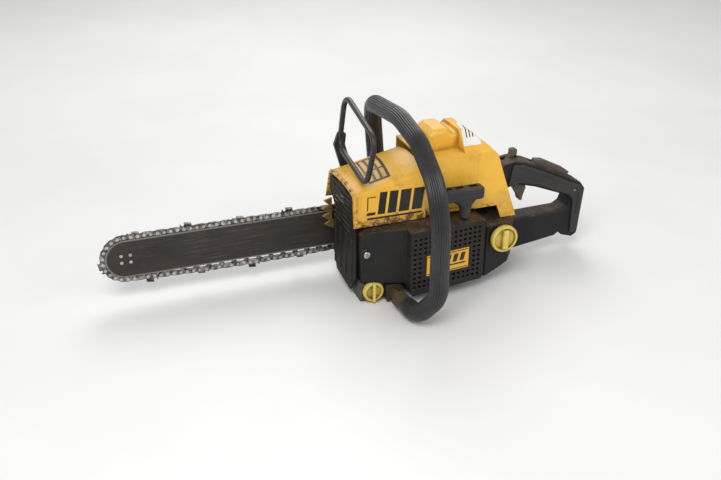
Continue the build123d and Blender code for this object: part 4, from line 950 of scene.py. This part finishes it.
@dataclass
class Sawdust:
    """Chips of wood and crumbs of dried oil left on the ledges."""

    size: float = 0.0009

    def scatter(self, dresser: Dresser, name: str, target: str, low: Triple, high: Triple, count: int,
                seed: int) -> None:
        """Drops flakes on a node: seeded points are pressed down, and each gets a flattened octahedron.

        Args:
            dresser: gives the flakes their finish.
            name: the piece's name.
            target: the node that they lie on.
            low: lowest x, y of the area, and the height they fall from.
            high: highest x, y of the area.
            count: how many flakes there are.
            seed: start of the random draws.
        """
        draw = np.random.default_rng(seed)
        spots = draw.uniform((low[0], low[1], 0), (high[0], high[1], 0.0001), (count, 3))
        spots[:, 2] = low[2]
        mesh = bpy.data.meshes.new(name + "_spots")
        mesh.from_pydata(spots.tolist(), [], [])
        cloud = added(name + "_spots", mesh)
        press(cloud, target, Facing.TOP, 0.0)
        centres = np.zeros(count * 3)
        cloud.data.vertices.foreach_get("co", centres)
        bpy.data.objects.remove(cloud)
        centres = centres.reshape(-1, 3)
        centres = centres[centres[:, 2] > high[2]]
        self.flakes(dresser, name, centres, draw)

    def flakes(self, dresser: Dresser, name: str, centres: np.ndarray, draw: np.random.Generator) -> None:
        """Builds one octahedron of eight faces at each centre, of random size and turn."""
        count = len(centres)
        corners = np.array([(1, 0, 0), (0, 1, 0), (-1, 0, 0), (0, -1, 0), (0, 0, 0.4), (0, 0, -0.2)])
        size = self.size * draw.uniform(0.4, 1.5, (count, 1, 3)) * np.array([1.6, 0.7, 0.8])
        turn = draw.uniform(0, 2 * np.pi, count)
        shape = corners[None] * size
        x = shape[..., 0] * np.cos(turn)[:, None] - shape[..., 1] * np.sin(turn)[:, None]
        y = shape[..., 0] * np.sin(turn)[:, None] + shape[..., 1] * np.cos(turn)[:, None]
        points = np.stack([x, y, shape[..., 2]], axis=-1) + centres[:, None]
        upper = [(0, 1, 4), (1, 2, 4), (2, 3, 4), (3, 0, 4)]
        pattern = np.array(upper + [(1, 0, 5), (2, 1, 5), (3, 2, 5), (0, 3, 5)])
        faces = pattern[None] + 6 * np.arange(count)[:, None, None]
        mesh = bpy.data.meshes.new(name)
        mesh.from_pydata(points.reshape(-1, 3).tolist(), [], faces.reshape(-1, 3).tolist())
        dresser.hand_over(added(name, mesh), CHIPS, "powerhead")

    def build(self, dresser: Dresser) -> None:
        """Scatters chips on the starter housing's top and along the cover's foot."""
        self.scatter(dresser, "chips_on_housing", "starter_housing", (-0.125, -0.096, 0.14),
                     (0.052, -0.060, 0.100), 260, SEED)
        self.scatter(dresser, "chips_on_tank", "fuel_tank", (0.062, -0.078, 0.12), (0.100, -0.060, 0.090), 40,
                     SEED + 1)


# ---------------------------------------------------------------- studio
@dataclass
class Studio:
    """Pale floor, soft lights and the camera."""

    floor_half: float = 40.0
    place: Triple = (-0.5864, -1.2466, 0.7374)
    azimuth: float = -21.0
    elevation: float = 26.7
    roll: float = 0.6
    lens: float = 49.93
    sensor: float = 36.0

    def floor(self) -> None:
        """Makes a flat square grid with a faint cloudy tone."""
        line = np.linspace(-self.floor_half, self.floor_half, 9)
        x, y = np.meshgrid(line, line)
        piece = surface("studio_floor", [np.stack([x, y, np.full(x.shape, -0.0002)], axis=-1)],
                        round_columns=False)
        material = bpy.data.materials.new("floor_pale")
        material.use_nodes = True
        bench = Bench(material.node_tree)
        material.node_tree.nodes.clear()
        tone = bench.blend(bench.step(bench.noise(bench.place(), 2.5, 3.0), 0.3, 0.7), (0.78, 0.775, 0.76),
                           (0.82, 0.815, 0.80))
        shader = bench.node("BsdfPrincipled", {"Base Color": tone, "Roughness": 0.55})
        bench.node("OutputMaterial", {0: shader.outputs[0]})
        piece.data.materials.append(material)

    def light(self, name: str, place: Triple, aim: Triple, size: float, power: float) -> None:
        """Adds one square soft light that looks at a point."""
        data = bpy.data.lights.new(name, "AREA")
        data.size = size
        data.energy = power
        ahead = np.array(aim) - np.array(place)
        added(name, data).matrix_world = looking(place, tuple(ahead))

    def camera(self) -> None:
        """Adds the camera at the set place, turned by azimuth, elevation and roll."""
        azimuth, elevation = math.radians(-self.azimuth), math.radians(self.elevation)
        ahead = (math.sin(azimuth) * math.cos(elevation), math.cos(azimuth) * math.cos(elevation),
                 -math.sin(elevation))
        data = bpy.data.cameras.new("camera")
        data.lens = self.lens
        data.sensor_width = self.sensor
        data.clip_start = 0.01
        viewer = added("camera", data)
        viewer.matrix_world = looking(self.place, ahead) @ Matrix.Rotation(math.radians(self.roll), 4, "Z")
        bpy.context.scene.camera = viewer

    def build(self) -> None:
        """Sets up the floor, the lights, the surroundings and the camera."""
        self.camera()
        self.floor()
        self.light("key", (-0.9, -1.2, 1.7), (-0.1, 0.0, 0.1), 1.1, 26.0)
        self.light("fill", (1.3, -1.5, 1.0), (0.0, 0.0, 0.1), 1.4, 9.0)
        self.light("rim", (0.3, 1.5, 1.5), (-0.1, 0.0, 0.1), 1.2, 16.0)
        world = bpy.data.worlds.new("studio_air")
        world.use_nodes = True
        world.node_tree.nodes["Background"].inputs[0].default_value = (0.86, 0.87, 0.88, 1.0)
        world.node_tree.nodes["Background"].inputs[1].default_value = 0.60
        bpy.context.scene.world = world
        bpy.context.scene.view_settings.view_transform = "Standard"


def looking(place: Triple, ahead: Triple) -> Matrix:
    """Returns the matrix of something at a place that looks ahead with its top up."""
    forward = np.array(ahead) / np.linalg.norm(ahead)
    right = np.cross(forward, (0.0, 0.0, 1.0))
    right /= np.linalg.norm(right)
    top = np.cross(right, forward)
    rows = [[right[k], top[k], -forward[k], place[k]] for k in range(3)]
    return Matrix(rows + [[0.0, 0.0, 0.0, 1.0]])


def main() -> None:
    """Dresses the saw, adds its fine pieces and sets up the studio."""
    logging.basicConfig(level=logging.INFO, format="%(name)s: %(message)s")
    Studio().build()
    dresser = Dresser(Effects())
    dresser.dress_nodes()
    FrontHandle().build(dresser)
    StarterGrip().build(dresser)
    CoverTrim().build(dresser)
    ScrewCap("fuel_cap_rim", "fuel_cap", (0.086, -0.0872, 0.077), 0.0205, 40).build(dresser)
    ScrewCap("oil_cap_rim", "oil_cap", (-0.115, -0.0722, 0.018), 0.0150, 28).build(dresser)
    ScrewHead("wing_screw_head", (-0.127, -0.0768, 0.081), 0.0052, 0.0022).build(dresser)
    ScrewHead("handle_screw_head", (0.245, -0.0186, 0.103), 0.0020, 0.0010, "steel").build(dresser)
    Sawdust().build(dresser)


if __name__ == "__main__":
    main()
